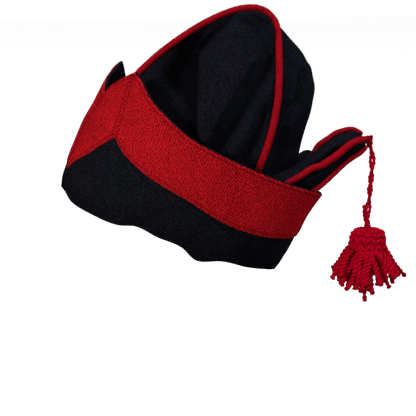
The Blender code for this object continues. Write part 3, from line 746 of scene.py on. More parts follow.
def join_parts(parts):
    """Several sets of points, faces, corner coordinates and marks as one."""
    counts = np.cumsum([0] + [len(points) for points, *_ in parts])
    return (np.concatenate([points for points, *_ in parts]),
            np.concatenate([faces + count for (_, faces, *_), count in zip(parts, counts)]),
            np.concatenate([uvs for _, _, uvs, _ in parts]),
            np.concatenate([marks for *_, marks in parts]))


# Shader node groups

def new_group(name, inputs):
    """A group with an input for each name, which takes a colour or a number as its default is,
    and with a colour and a height as its outputs."""
    tree = bpy.data.node_groups.new(name, "ShaderNodeTree")
    for label, default in inputs.items():
        kind = "NodeSocketColor" if isinstance(default, tuple) else "NodeSocketFloat"
        socket = tree.interface.new_socket(name=label, in_out="INPUT", socket_type=kind)
        socket.default_value = default
    for label, kind in (("Colour", "NodeSocketColor"), ("Height", "NodeSocketFloat")):
        tree.interface.new_socket(name=label, in_out="OUTPUT", socket_type=kind)
    return tree, tree.nodes.new("NodeGroupInput"), tree.nodes.new("NodeGroupOutput")


def node(tree, kind, **values):
    made = tree.nodes.new(kind)
    for key, value in values.items():
        setattr(made, key, value)
    return made


def math_node(tree, operation, first, second=None):
    made = node(tree, "ShaderNodeMath", operation=operation)
    for socket, value in zip(made.inputs, (first, second)):
        if value is None:
            continue
        if isinstance(value, (int, float)):
            socket.default_value = value
        else:
            tree.links.new(value, socket)
    return made.outputs[0]


def noise_node(tree, vector, scale, detail, roughness=0.5):
    made = node(tree, "ShaderNodeTexNoise")
    tree.links.new(vector, made.inputs["Vector"])
    made.inputs["Scale"].default_value = scale
    made.inputs["Detail"].default_value = detail
    made.inputs["Roughness"].default_value = roughness
    return made.outputs["Fac"]


def ramp_node(tree, value, low, high, to_low=0.0, to_high=1.0):
    made = node(tree, "ShaderNodeMapRange", interpolation_type="SMOOTHSTEP")
    tree.links.new(value, made.inputs["Value"])
    for label, number in (("From Min", low), ("From Max", high), ("To Min", to_low),
                          ("To Max", to_high)):
        made.inputs[label].default_value = number
    return made.outputs["Result"]


# Numbers of the sockets that a Mix node uses for colours: the factor, the colours, the result
MIX_INPUTS = (0, 6, 7)
MIX_OUTPUT = 2


def mix_colour(tree, factor, first, second):
    made = node(tree, "ShaderNodeMix", data_type="RGBA")
    for number, value in zip(MIX_INPUTS, (factor, first, second)):
        socket = made.inputs[number]
        if isinstance(value, (int, float, tuple)):
            socket.default_value = value
        else:
            tree.links.new(value, socket)
    return made.outputs[MIX_OUTPUT]


def scaled(tree, value, factor):
    return math_node(tree, "MULTIPLY", value, factor)


def added(tree, first, second):
    return math_node(tree, "ADD", first, second)


def swing(tree, noise, reach):
    """Noise from 0 to 1 as a value that swings about 0."""
    return scaled(tree, math_node(tree, "SUBTRACT", noise, 0.5), reach)


def object_place(tree):
    return node(tree, "ShaderNodeTexCoord").outputs["Object"]


def point_value(tree, name):
    """A value that the piece's mesh holds at each of its points."""
    return node(tree, "ShaderNodeAttribute", attribute_name=name).outputs["Fac"]


def along_and_across(tree):
    """The two numbers of the piece's own UV map: its place along the piece and across it."""
    parts = node(tree, "ShaderNodeSeparateXYZ")
    tree.links.new(node(tree, "ShaderNodeUVMap", uv_map="along").outputs[0], parts.inputs[0])
    return parts.outputs[0], parts.outputs[1]


def finished(tree, out, colour, height):
    tree.links.new(colour, out.inputs["Colour"])
    tree.links.new(height, out.inputs["Height"])
    return tree


FELT_STRETCH = (1.0, 0.35, 0.6)
FELT_LIE = (0.6, 0.3, 0.2)
FELT_NAP_STRENGTH = 1.10
FELT_FIBRE_HEIGHT = 0.6
# Painted shade: how strongly the point value darkens the felt, and towards which colour
FELT_SHADE_STRENGTH = 0.92
FELT_SHADE_COLOUR = (0.0004, 0.0004, 0.0005, 1)


def felt_group():
    """Milled wool: a mottled nap, sparse light fibres and a fine height, from noise at three
    scales in object space. A point value darkens it towards a near-black colour as painted shade."""
    tree, given, out = new_group("wool_felt", {
        "Colour": (0.01, 0.01, 0.016, 1), "Nap colour": (0.03, 0.03, 0.04, 1), "Fibres": 0.5})
    place = object_place(tree)
    nap = noise_node(tree, place, scale=700.0, detail=4.0, roughness=0.72)
    cloud = noise_node(tree, place, scale=70.0, detail=3.0)
    stretched = node(tree, "ShaderNodeMapping", vector_type="POINT")
    stretched.inputs["Scale"].default_value = FELT_STRETCH
    stretched.inputs["Rotation"].default_value = FELT_LIE
    tree.links.new(place, stretched.inputs["Vector"])
    fibre = noise_node(tree, stretched.outputs[0], scale=1500.0, detail=2.0)
    specks = ramp_node(tree, fibre, low=0.62, high=0.80)
    mottled = ramp_node(tree, nap, low=0.42, high=0.78)
    amount = scaled(tree, specks, given.outputs["Fibres"])
    amount = added(tree, amount, scaled(tree, mottled, FELT_NAP_STRENGTH))
    amount = scaled(tree, amount,
                    ramp_node(tree, cloud, low=0.2, high=0.8, to_low=0.6, to_high=1.3))
    colour = mix_colour(tree, amount, given.outputs["Colour"], given.outputs["Nap colour"])
    # Painted shade: the point value darkens the cloth towards near black
    painted_shade = scaled(tree, point_value(tree, "painted_shade"), FELT_SHADE_STRENGTH)
    colour = mix_colour(tree, painted_shade, colour, FELT_SHADE_COLOUR)
    return finished(tree, out, colour, added(tree, nap, scaled(tree, fibre, FELT_FIBRE_HEIGHT)))


WEAVE_UNEVENNESS = 5.0
WEAVE_YARN_SLANT = 1.9
WEAVE_YARN_UNEVENNESS = 1.6
WEAVE_RIB_HEIGHT = 0.50
WEAVE_YARN_HEIGHT = 0.42
WEAVE_FIBRE_HEIGHT = 3.4
WEAVE_CLOUD_STRENGTH = 0.6
WEAVE_SHADE_STRENGTH = 0.95


def weave_group():
    """Ribbed wool tape: sine waves across the ribs, with yarns that lie slantwise over each rib,
    in the piece's own coordinates. Noise bends both. Where the weave lies low it takes painted
    shade and where it stands highest a painted highlight, with cloudy tone over it, and a point
    value adds painted shade."""
    tree, given, out = new_group("tape_weave", {
        "Colour": (0.36, 0.006, 0.01, 1), "Deep colour": (0.12, 0.002, 0.004, 1),
        "Highlight colour": (0.75, 0.08, 0.08, 1), "Rib": 0.0021, "Yarn": 0.0019})
    along, across = along_and_across(tree)
    place = object_place(tree)
    uneven = noise_node(tree, place, scale=240.0, detail=3.0, roughness=0.6)
    shift = swing(tree, uneven, WEAVE_UNEVENNESS)
    rib_turn = math_node(tree, "DIVIDE", across, given.outputs["Rib"])
    rib_turn = added(tree, scaled(tree, rib_turn, math.tau), shift)
    rib = math_node(tree, "SINE", rib_turn)
    yarn_turn = math_node(tree, "DIVIDE", along, given.outputs["Yarn"])
    slant = scaled(tree, math_node(tree, "ABSOLUTE", rib), WEAVE_YARN_SLANT)
    yarn_turn = added(tree, scaled(tree, yarn_turn, math.tau), slant)
    yarn_turn = added(tree, yarn_turn, scaled(tree, shift, WEAVE_YARN_UNEVENNESS))
    yarn = math_node(tree, "SINE", yarn_turn)
    fibre = noise_node(tree, place, scale=680.0, detail=3.0, roughness=0.65)
    height = added(tree, scaled(tree, rib, WEAVE_RIB_HEIGHT),
                   scaled(tree, yarn, WEAVE_YARN_HEIGHT))
    height = added(tree, height, swing(tree, fibre, WEAVE_FIBRE_HEIGHT))
    cloud = noise_node(tree, place, scale=45.0, detail=3.0)
    # Painted shade where the weave lies low, with cloudy tone
    tone = added(tree, height, scaled(tree, cloud, WEAVE_CLOUD_STRENGTH))
    tone = ramp_node(tree, tone, low=-0.85, high=1.05)
    # Painted shade of the needle holes and the stitch rows, from the point value
    painted_shade = scaled(tree, point_value(tree, "painted_shade"), WEAVE_SHADE_STRENGTH)
    tone = scaled(tree, tone, math_node(tree, "SUBTRACT", 1.0, painted_shade))
    colour = mix_colour(tree, tone, given.outputs["Deep colour"], given.outputs["Colour"])
    # Painted highlight where the weave stands highest
    light = ramp_node(tree, height, low=0.70, high=1.60, to_low=0.0, to_high=0.6)
    colour = mix_colour(tree, light, colour, given.outputs["Highlight colour"])
    return finished(tree, out, colour, height)


YARN_FIBRE_SLANT = 0.55
YARN_UNEVENNESS = 9.0
YARN_WAVE_STRENGTH = 0.12
YARN_WAVE_MIDDLE = 0.9
YARN_WAVE_HEIGHT = 0.4


def yarn_group():
    """Spun wool: fine fibres that run slantwise round a strand, with painted shade in the grooves
    between the plies, which a point value gives."""
    tree, given, out = new_group("spun_wool", {
        "Colour": (0.36, 0.004, 0.01, 1), "Deep colour": (0.08, 0.001, 0.002, 1),
        "Fibre pitch": 0.0007})
    along, around = along_and_across(tree)
    place = object_place(tree)
    slanted = added(tree, scaled(tree, along, YARN_FIBRE_SLANT), around)
    turn = scaled(tree, math_node(tree, "DIVIDE", slanted, given.outputs["Fibre pitch"]),
                  math.tau)
    uneven = noise_node(tree, place, scale=700.0, detail=3.0, roughness=0.6)
    wave = math_node(tree, "SINE", added(tree, turn, scaled(tree, uneven, YARN_UNEVENNESS)))
    lit = ramp_node(tree, point_value(tree, "groove_shade"), low=0.0, high=0.34, to_low=1.0,
                    to_high=0.36)
    cloud = noise_node(tree, place, scale=160.0, detail=2.0)
    cloud = ramp_node(tree, cloud, low=0.3, high=0.7, to_low=0.72, to_high=1.0)
    tone = added(tree, scaled(tree, wave, YARN_WAVE_STRENGTH), YARN_WAVE_MIDDLE)
    tone = scaled(tree, scaled(tree, lit, cloud), tone)
    colour = mix_colour(tree, tone, given.outputs["Deep colour"], given.outputs["Colour"])
    return finished(tree, out, colour, added(tree, scaled(tree, wave, YARN_WAVE_HEIGHT), uneven))


def group_named(name):
    makers = {"wool_felt": felt_group, "tape_weave": weave_group, "spun_wool": yarn_group}
    return bpy.data.node_groups.get(name) or makers[name]()


SHEEN_ROUGHNESS = 0.45
# Darker colours as shares of the cloth's own: the piping felt's ground under its nap; the yarn's
# and the tape's deep colour, painted shade in their grooves and cloudy tone elsewhere; the
# thread, painted darker than the tape as shade, and the painted shade in its grooves
PIPING_DEEP_SHARE = 0.45
YARN_DEEP_SHARE = 0.22
TAPE_DEEP_SHARE = 0.14
THREAD_SHARE = 0.50
THREAD_DEEP_SHARE = 0.30


def cloth_material(name, group, inputs, roughness, bump_distance, bump_strength, sheen=0.0,
                   sheen_tint=(1.0, 1.0, 1.0)):
    """A material whose colour and height come from one node group. Sheen, roughness and their
    like are the same all over, so they stand on the shader's own sockets."""
    material = bpy.data.materials.new(name)
    material.use_nodes = True
    tree = material.node_tree
    shader = tree.nodes["Principled BSDF"]
    effect = node(tree, "ShaderNodeGroup", node_tree=group_named(group))
    for label, value in inputs.items():
        effect.inputs[label].default_value = value
    bump = node(tree, "ShaderNodeBump")
    bump.inputs["Distance"].default_value = bump_distance
    bump.inputs["Strength"].default_value = bump_strength
    tree.links.new(effect.outputs["Colour"], shader.inputs["Base Color"])
    tree.links.new(effect.outputs["Height"], bump.inputs["Height"])
    tree.links.new(bump.outputs["Normal"], shader.inputs["Normal"])
    shader.inputs["Roughness"].default_value = roughness
    shader.inputs["Specular IOR Level"].default_value = 0.0
    shader.inputs["Sheen Weight"].default_value = sheen
    shader.inputs["Sheen Roughness"].default_value = SHEEN_ROUGHNESS
    shader.inputs["Sheen Tint"].default_value = (*sheen_tint, 1)
    return material


def shade_of(colour, share):
    """A darker shade of a colour, with its alpha."""
    return (*(value * share for value in colour), 1)


def navy_cloth(name):
    colours = bpy.context.scene.side_cap_colours
    return cloth_material(
        name, "wool_felt",
        {"Colour": (*colours.cloth, 1), "Nap colour": (*colours.cloth_nap, 1), "Fibres": 0.5},
        roughness=0.95, bump_distance=0.00035, bump_strength=0.6, sheen=0.006,
        sheen_tint=(0.55, 0.6, 1.0))


def red_felt(name):
    piping = bpy.context.scene.side_cap_colours.piping
    return cloth_material(
        name, "wool_felt",
        {"Colour": shade_of(piping, PIPING_DEEP_SHARE), "Nap colour": (*piping, 1),
         "Fibres": 0.6},
        roughness=0.9, bump_distance=0.0003, bump_strength=0.5)


def red_yarn(name):
    yarn = bpy.context.scene.side_cap_colours.yarn
    return cloth_material(
        name, "spun_wool",
        {"Colour": (*yarn, 1), "Deep colour": shade_of(yarn, YARN_DEEP_SHARE),
         "Fibre pitch": 0.0008},
        roughness=0.85, bump_distance=0.00025, bump_strength=0.6)


# Settings

class SideCapColours(bpy.types.PropertyGroup):
    """Colours of the cap."""
    cloth: bpy.props.FloatVectorProperty(
        name="Cloth", description="Ground colour of the wool cloth", subtype="COLOR",
        default=(0.0028, 0.0030, 0.0044), min=0, max=1)
    cloth_nap: bpy.props.FloatVectorProperty(
        name="Nap", description="Colour of the cloth's raised fibres", subtype="COLOR",
        default=(0.0125, 0.0135, 0.0180), min=0, max=1)
    tape: bpy.props.FloatVectorProperty(
        name="Tape", description="Colour of the woven tape", subtype="COLOR",
        default=(0.55, 0.0080, 0.0140), min=0, max=1)
    piping: bpy.props.FloatVectorProperty(
        name="Piping", description="Colour of the pipings", subtype="COLOR",
        default=(0.38, 0.005, 0.012), min=0, max=1)
    yarn: bpy.props.FloatVectorProperty(
        name="Yarn", description="Colour of the cord and the tassel", subtype="COLOR",
        default=(0.47, 0.0012, 0.016), min=0, max=1)


class SideCapSizes(bpy.types.PropertyGroup):
    """Sizes of the details that the cap's solids leave open."""
    stitch_length: bpy.props.FloatProperty(
        name="Stitch", description="Length of one stitch of the tape", unit="LENGTH",
        default=0.0032, min=0.001, max=0.01)
    stitch_inset: bpy.props.FloatProperty(
        name="Stitch inset", description="How far the stitches lie inside the tape's edges",
        unit="LENGTH", default=0.0026, min=0.001, max=0.01)
    yarn_diameter: bpy.props.FloatProperty(
        name="Yarn", description="Thickness of a strand of the tassel", unit="LENGTH",
        default=0.0049, min=0.002, max=0.008)


# Stage

# The camera stands this way and this far from the cap's middle; the lens is in millimetres
CAMERA_AZIMUTH = 77
CAMERA_ELEVATION = 11
CAMERA_DISTANCE = 1.1
CAMERA_TARGET = (0, 0.03437, 0.01597)
CAMERA_LENS = 108.05
CAMERA_SENSOR = 36
FLOOR_HEIGHT = -0.0725
FLOOR_HALF_WIDTH = 6.0
FLOOR_GREY = (0.45, 0.45, 0.45, 1)
WHITE = (1, 1, 1, 1)
# How bright the floor glows, and how bright the room is as a light and as a background
FLOOR_GLOW = 0.95
ROOM_LIGHT = 0.045
ROOM_SEEN = 1.05
LIGHTS = (
    # name, azimuth, elevation, distance, size, power, colour
    ("key", 38, 14, 1.7, 0.45, 27, (1, 0.985, 0.96)),
    ("top", 140, 70, 1.7, 0.6, 24, (0.93, 0.96, 1)),
    ("wall_behind", 174, 38, 1.7, 0.8, 14, (0.86, 0.92, 1)),
)


def from_angles(azimuth, elevation):
    """Unit direction from the object to a place: azimuth 0 is in front of it, 90 on its left."""
    a, e = math.radians(azimuth), math.radians(elevation)
    return Vector((math.sin(a) * math.cos(e), -math.cos(a) * math.cos(e), math.sin(e)))


def facing_target(name, data, azimuth, elevation, distance):
    """A camera or lamp at this distance and these angles that faces the cap's middle."""
    made = bpy.data.objects.new(name, data)
    back = from_angles(azimuth, elevation)
    made.location = Vector(CAMERA_TARGET) + back * distance
    made.rotation_euler = back.to_track_quat("Z", "Y").to_euler()
    bpy.context.scene.collection.objects.link(made)
    return made


def add_light(name, azimuth, elevation, distance, size, power, colour):
    light = bpy.data.lights.new(name, "AREA")
    light.shape = "DISK"
    light.size = size
    light.energy = power
    light.color = colour
    facing_target(name, light, azimuth, elevation, distance)


class SIDECAP_OT_stage(bpy.types.Operator):
    """Adds the camera, the floor and the lights"""
    bl_idname = "sidecap.stage"
    bl_label = "Stage"

    def execute(self, context):
        scene = context.scene
        lens = bpy.data.cameras.new("camera")
        lens.lens = CAMERA_LENS
        lens.sensor_width = CAMERA_SENSOR
        scene.camera = facing_target("camera", lens, CAMERA_AZIMUTH, CAMERA_ELEVATION,
                                     CAMERA_DISTANCE)
        scene.view_settings.view_transform = "Standard"
        self.add_floor()
        scene.world = self.make_room()
        for light in LIGHTS:
            add_light(*light)
        return {"FINISHED"}

    def add_floor(self):
        """A pale floor that glows for the camera alone, so that it stays white."""
        mesh = bpy.data.meshes.new("floor")
        corners = [(x * FLOOR_HALF_WIDTH, y * FLOOR_HALF_WIDTH, FLOOR_HEIGHT)
                   for x, y in ((-1, -1), (1, -1), (1, 1), (-1, 1))]
        mesh.from_pydata(corners, [], [(0, 1, 2, 3)])
        floor = bpy.data.objects.new("floor", mesh)
        bpy.context.scene.collection.objects.link(floor)
        white = bpy.data.materials.new("floor")
        white.use_nodes = True
        tree = white.node_tree
        shader = tree.nodes["Principled BSDF"]
        shader.inputs["Base Color"].default_value = FLOOR_GREY
        shader.inputs["Roughness"].default_value = 1
        shader.inputs["Emission Color"].default_value = WHITE
        seen = tree.nodes.new("ShaderNodeLightPath").outputs["Is Camera Ray"]
        tree.links.new(scaled(tree, seen, FLOOR_GLOW), shader.inputs["Emission Strength"])
        mesh.materials.append(white)

    def make_room(self):
        """A white background whose own light is much fainter than it looks."""
        world = bpy.data.worlds.new("studio")
        world.use_nodes = True
        tree = world.node_tree
        background = tree.nodes["Background"]
        background.inputs["Color"].default_value = WHITE
        seen = tree.nodes.new("ShaderNodeLightPath").outputs["Is Camera Ray"]
        strength = ramp_node(tree, seen, low=0, high=1, to_low=ROOM_LIGHT, to_high=ROOM_SEEN)
        tree.links.new(strength, background.inputs["Strength"])
        return world


# Cord

# The cord's two strands go once round each other in each lay. The lay and the room between the
# strands vary a little, as sine waves along the cord
CORD_ROWS = 120
CORD_LAY = 0.029
CORD_LAY_SWING = 0.5
CORD_LAY_PACE = 150
CORD_START_TURN = 0.6
CORD_STRAND = 0.0034
CORD_STRAND_LAY = 0.0085
CORD_STRAND_FACE = (0.3, 1.0, 0.1)
CORD_STRAND_TURNS = (0.4, 2.0)
CORD_SPREAD = 0.00135
CORD_SPREAD_SWING = 0.22
CORD_SPREAD_PACE = 310
CORD_SPREAD_TURN = 1
CORD_UNEVENNESS = 0.08
CORD_UNEVEN_PACE = 700
STRAND_SIDES = 14

# A yarn end is knotted beside the cord, and lies off it this way
YARN_END_WAY = (-0.225, -0.974, 0.0)
YARN_END = (
    # share of the cord's length, how far beside the cord
    (0.955, 0.0008),
    (0.900, 0.0024),
    (0.840, 0.0034),
    (0.780, 0.0036),
    (0.735, 0.0034),
)
YARN_END_ROWS = 60
YARN_END_LAY = 0.0075
YARN_END_WIDTH = 0.85
KNOT_ROW = 52
KNOT_ROWS = 5
KNOT_SWELL = 0.55
# The turns of yarn where the cord leaves the tail
COIL_ROWS = 90
COIL_TURNS = 2.3
COIL_REACH = 0.0023
COIL_TOP = 0.0042
COIL_HEIGHT = 0.0056
COIL_CORD_ROW = 4
COIL_YARN = 0.0030
COIL_LAY = 0.0080
COIL_SIDES = 12


def cord_route():
    """The cord hangs from the tail's tip: a smooth line through the route's places."""
    middle, *_ = tail_frame(np.array((1.0,)))
    tip = worn(middle)[0]
    close = along_rows(np.array(CORD_ROUTE) * (1, 1, -1), np.linspace(0, 1, ROUTE_POINTS)) + tip
    return even_steps(close, count=CORD_ROWS)


class SIDECAP_OT_tassel_cord(bpy.types.Operator):
    """Adds the cord of two strands laid round each other, and a knotted yarn end on it"""
    bl_idname = "sidecap.tassel_cord"
    bl_label = "Tassel cord"

    def execute(self, context):
        route = cord_route()
        count = len(route)
        reached = np.linspace(0, np.linalg.norm(np.diff(route, axis=0), axis=1).sum(), count)
        outward = np.broadcast_to((1.0, 0.0, 0.0), route.shape)
        _, across, out = route_frames(route, outward)
        turn = (math.tau * reached / CORD_LAY + CORD_LAY_SWING * np.sin(reached * CORD_LAY_PACE)
                + CORD_START_TURN)
        spread = CORD_SPREAD * (1 + CORD_SPREAD_SWING * np.sin(
            reached * CORD_SPREAD_PACE + CORD_SPREAD_TURN))
        strands = [route + across * (spread * np.sin(turn + side))[:, None]
                   + out * (spread * np.cos(turn + side))[:, None] for side in (0, math.pi)]
        uneven = soft_noise(reached * CORD_UNEVEN_PACE, reached * 0, seed=3)
        points, faces, uvs, groove_shade = yarn_tubes(
            np.array(strands), np.broadcast_to(CORD_STRAND_FACE, (2, count, 3)), CORD_STRAND,
            CORD_STRAND_LAY, STRAND_SIDES, phase=CORD_STRAND_TURNS,
            taper=closing_radius(count) * (1 + CORD_UNEVENNESS * uneven))
        piece = add_piece("tassel_cord_strands", points, faces, uvs, {"groove_shade": groove_shade})
        dress(piece, red_yarn("cord_yarn"), "red_wool", "tassel_cord")
        self.add_knots(route)
        return {"FINISHED"}

    def add_knots(self, route):
        """A yarn end that is knotted beside the cord, and the turns where it leaves the tail."""
        beside = np.array([route[int(share * (len(route) - 1))] + np.array(YARN_END_WAY) * off
                           for share, off in YARN_END])
        end = along_rows(beside, np.linspace(0, 1, YARN_END_ROWS))[None]
        rows = np.arange(YARN_END_ROWS)
        wide = YARN_END_WIDTH + KNOT_SWELL * np.exp(-((rows - KNOT_ROW) / KNOT_ROWS) ** 2)
        parts = [yarn_tubes(end, np.broadcast_to((1.0, 0.0, 0.0), end.shape), CORD_STRAND,
                            YARN_END_LAY, STRAND_SIDES, phase=0.5,
                            taper=closing_radius(YARN_END_ROWS) * wide)]
        turn = np.linspace(0, COIL_TURNS * math.tau, COIL_ROWS)
        coil = np.stack((COIL_REACH * np.cos(turn), COIL_REACH * np.sin(turn),
                         COIL_TOP - COIL_HEIGHT * turn / turn[-1]), axis=-1)
        coil = (coil + route[COIL_CORD_ROW])[None]
        parts.append(yarn_tubes(coil, np.broadcast_to((0.0, 0.0, 1.0), coil.shape), COIL_YARN,
                                COIL_LAY, COIL_SIDES, phase=0.0,
                                taper=closing_radius(COIL_ROWS)))
        points, faces, uvs, groove_shade = join_parts(parts)
        piece = add_piece("tassel_cord_knots", points, faces, uvs, {"groove_shade": groove_shade})
        return dress(piece, red_yarn("knot_yarn"), "red_wool", "tassel_cord")


def fine_turns(step):
    """Turns all the way round at about even steps that meet every turn of the table."""
    half = [np.linspace(low, high, max(2, round((high - low) / step) + 1))[:-1]
            for low, high in zip(TURNS, TURNS[1:])]
    near = np.concatenate(half)
    return np.concatenate((-np.concatenate((near[1:], (180.0,)))[::-1], near))


# Crown

# Columns of the crown's mesh, in degrees: finest over the folds of the near side
CROWN_FAR_STEP = 2.2
CROWN_NEAR_COLUMNS = (
    # from, to, step
    (0, 20, 1.1),
    (20, 135, 0.50),
    (135, 180, 1.3),
)
# Even rows of its two skins, then rows that draw closer together over the last share of the rise
OUTER_ROWS = (
    # from, to, rows
    (0, 0.3, 10),
    (0.3, 0.9, 158),
)
INNER_ROWS = (
    # from, to, rows
    (0, 0.9, 40),
)
CREST_SHARE = 0.1


def crown_rises(parts, crest_rows, crest_power):
    """Rises of the crown's rows: even in each part, then 1 - c s^p, with s from 1 to 0."""
    even = [np.linspace(low, high, rows)[:-1] for low, high, rows in parts]
    return np.concatenate((*even, 1 - CREST_SHARE * np.linspace(1, 0, crest_rows) ** crest_power))


class SIDECAP_OT_crown(bpy.types.Operator):
    """Adds the crown's bag: an outer and an inner skin that meet at the rim"""
    bl_idname = "sidecap.crown"
    bl_label = "Crown"

    def execute(self, context):
        turns = fine_turns(CROWN_FAR_STEP)
        turns = np.concatenate((turns[turns < 0],
                                *(np.arange(*columns) for columns in CROWN_NEAR_COLUMNS)))
        seam = crown_base(*piping_places())
        rises = crown_rises(OUTER_ROWS, crest_rows=50, crest_power=1.4)
        outer = crown_point(turns[None], rises[:, None], seam=seam)
        inner_rises = crown_rises(INNER_ROWS, crest_rows=9, crest_power=1.5)
        inner = crown_point(turns[None], inner_rises[:, None], CROWN_CLOTH)
        points = worn(np.concatenate((inner[::-1], outer)))
        faces = grid_faces(len(points), len(turns), True)
        # Painted shade of the near side's deep places, kept as a point value
        base = crown_base(turns[None], rises[:, None])
        painted_shade = fold_relief(DEEP_SHADE_PLACES, base[..., 1] / (RIM_LENGTH / 2),
                             base[..., 2] / CROWN_HEIGHT) * (turns > 0)
        painted_shade = np.concatenate((np.zeros((len(inner), len(turns))), np.minimum(painted_shade, 1)))
        piece = add_piece("crown_bag", points, faces, marks={"painted_shade": painted_shade})
        dress(piece, navy_cloth("crown_wool"), "crown_cloth", "crown")
        return {"FINISHED"}


# Turned-up band

# Its inner face has one row for this many of the outer face's
INNER_ROW_STEP = 4


def band_section(steps_up, steps_round):
    """Cross-section of the turned-up cloth: outer face, rounded top, inner face, rolled rim.
    Gives each row's share of the height, what is added to it, how far out it lies, and how much
    of the outer face's unevenness it takes."""
    half = TURN_UP_CLOTH / 2
    arc = np.linspace(0, math.pi, steps_round + 1)
    up = np.linspace(0, 1, steps_up)
    rows = [(share, 0.0, 0.0, 1.0) for share in up]
    rows += [(1.0, half * math.sin(a), half * (math.cos(a) - 1), (1 + math.cos(a)) / 2)
             for a in arc[1:-1]]
    rows += [(share, 0.0, -2 * half, 0.0) for share in up[::-INNER_ROW_STEP]]
    rows += [(0.0, -half * math.sin(a), -half * (1 + math.cos(a)), (1 - math.cos(a)) / 2)
             for a in arc[1:-1]]
    return np.array(rows).T


# The outer face rounds inwards towards the rim, and is painted a little darker there as shade
RIM_ROUNDING = 0.0008
RIM_ROUNDING_HEIGHT = 0.0040
RIM_SHADE = 0.36
RIM_SHADE_HEIGHT = 0.0150

# Soft unevenness of the band's cloth, and hollows low on its face. It lies flat under the tape
BAND_UNEVENNESS = (
    # size, pace round the band, pace up it, seed
    (0.0007, 70, 75, 11),
    (0.0005, 190, 120, 12),
)
BAND_HOLLOW_DEPTH = 0.0012
BAND_HOLLOW_SHARE = 0.16
BAND_HOLLOW_WIDTH = 0.09
BAND_HOLLOW_PACE = 120
TAPE_CLEARANCE = 0.004
BACK_FADE_TURN = 10
BAND_STEP = 0.6
BAND_ROWS = 96
BAND_EDGE_ROWS = 8


class SIDECAP_OT_turn_up(bpy.types.Operator):
    """Adds the turned-up band with its peaks, its rounded edge and its wavy rolled rim"""
    bl_idname = "sidecap.turn_up"
    bl_label = "Turned-up band"

    def execute(self, context):
        turns = fine_turns(BAND_STEP)
        share, added_height, outwards, uneven = (
            values[:, None] for values in band_section(BAND_ROWS, BAND_EDGE_ROWS))
        half = TURN_UP_CLOTH / 2
        low, high = rim_height(turns) + half, edge_height(turns) - half
        height = low + (high - low) * share + added_height
        reach = turns * math.pi / 180 * RIM_LENGTH / 2
        bulge = sum(size * soft_noise(reach * round_pace, height * up_pace, seed)
                    for size, round_pace, up_pace, seed in BAND_UNEVENNESS)
        hollows = 0.5 + 0.5 * np.sin(reach * BAND_HOLLOW_PACE)
        bulge = bulge - BAND_HOLLOW_DEPTH * hollows * np.exp(
            -((share - BAND_HOLLOW_SHARE) / BAND_HOLLOW_WIDTH) ** 2)
        under_tape = ease((height - tape_foot_height(turns) + TAPE_CLEARANCE) / TAPE_CLEARANCE)
        ends = ease((180 - np.abs(turns)) / BACK_FADE_TURN)
        bulge = bulge * ends * (1 - under_tape)
        above_rim = np.maximum(height - low, 0)
        bulge = bulge - RIM_ROUNDING * np.exp(-(above_rim / RIM_ROUNDING_HEIGHT) ** 2)
        points = worn(band_point(turns[None], height, outwards + bulge * uneven))
        shade = RIM_SHADE * np.exp(-(above_rim / RIM_SHADE_HEIGHT) ** 2) * uneven
        faces = grid_faces(len(points) + 1, len(turns), True) % points[..., 0].size
        piece = add_piece("turn_up_cloth", points, faces, marks={"painted_shade": shade})
        dress(piece, navy_cloth("band_wool"), "band_cloth", "turn_up")
        return {"FINISHED"}


# Tape

TAPE_FRONT_COLUMNS = 64
TAPE_SIDE_COLUMNS = 520
TAPE_ROWS = 74
# Share of evenness in the rows' places, which else crowd towards both edges as a cosine does
TAPE_EVEN_SHARE = 0.45
TAPE_UNEVENNESS = 0.00022
TAPE_UNEVEN_PACE = 260
# The tape is thinner at its edges, which are quarter rounds with a slight wave
TAPE_EDGE_THICKNESS = 0.72
TAPE_EDGE_WIDTH = 0.0035
TAPE_EDGE_ROWS = 3
TAPE_EDGE_REACH = 0.0004
TAPE_EDGE_SINK = 0.0006
TAPE_EDGE_WAVE = 0.00012
TAPE_UNDER_REACH = -0.0004
TAPE_UNDER_SHARES = (0.97, 0.03)
TAPE_UNDER_ROWS = 5
MITRE_SLANT = math.sin(math.radians(45))

# Depths and widths of the rows of stitches, of their needle holes and of the mitres' folds
ROW_DEPTH = 0.00028
HOLE_DEPTH = 0.00035
ROW_WIDTH = 0.0007
MITRE_ROW_DEPTH = 0.00022
MITRE_HOLE_DEPTH = 0.0003
MITRE_ROW_GAP = 0.0016
MITRE_DEPTH = 0.0005
MITRE_WIDTH = 0.0006
# How much painted shade the rows take between the holes, and how much the holes of each row take
ROW_SHADE = 0.20
ROW_SHADE_WIDTH = 0.0008
FOOT_HOLES = 0.70
TOP_HOLES = 1.30
MITRE_SHADE = 0.10
MITRE_SHADE_WIDTH = 0.0009
MITRE_HOLES = 1.6
MITRE_HOLES_GAP = 0.0018

# Stitches: each bows from hole to hole over a span of its length
STITCH_SPAN = (0.12, 0.88)
STITCH_ROWS = 6
STITCH_START = 0.25
STITCH_HEIGHT = 0.0011
STITCH_SINK = 0.0009
STITCH_TAPER = (0.35, 0.9, 1, 1, 0.9, 0.35)
MITRE_STITCH_SPAN = (0.07, 0.93)
MITRE_LENGTH = 0.05
MITRE_STITCH_LENGTH = 0.055
MITRE_STITCH_OFF = 0.0022 / 0.045
THREAD_DIAMETER = 0.00055
THREAD_LAY = 0.0011
THREAD_SIDES = 6


def tape_columns():
    """Columns of the tape from the middle of the back round the far side to the front and on,
    as signs and shares along the front strip (0 to 1) and the side strip (1 to 2)."""
    front = np.linspace(0, 1, TAPE_FRONT_COLUMNS + 1)
    side = np.linspace(1, 2, TAPE_SIDE_COLUMNS + 1)[1:]
    near = np.concatenate((front, side))
    return np.concatenate((-near[::-1], near[1:]))


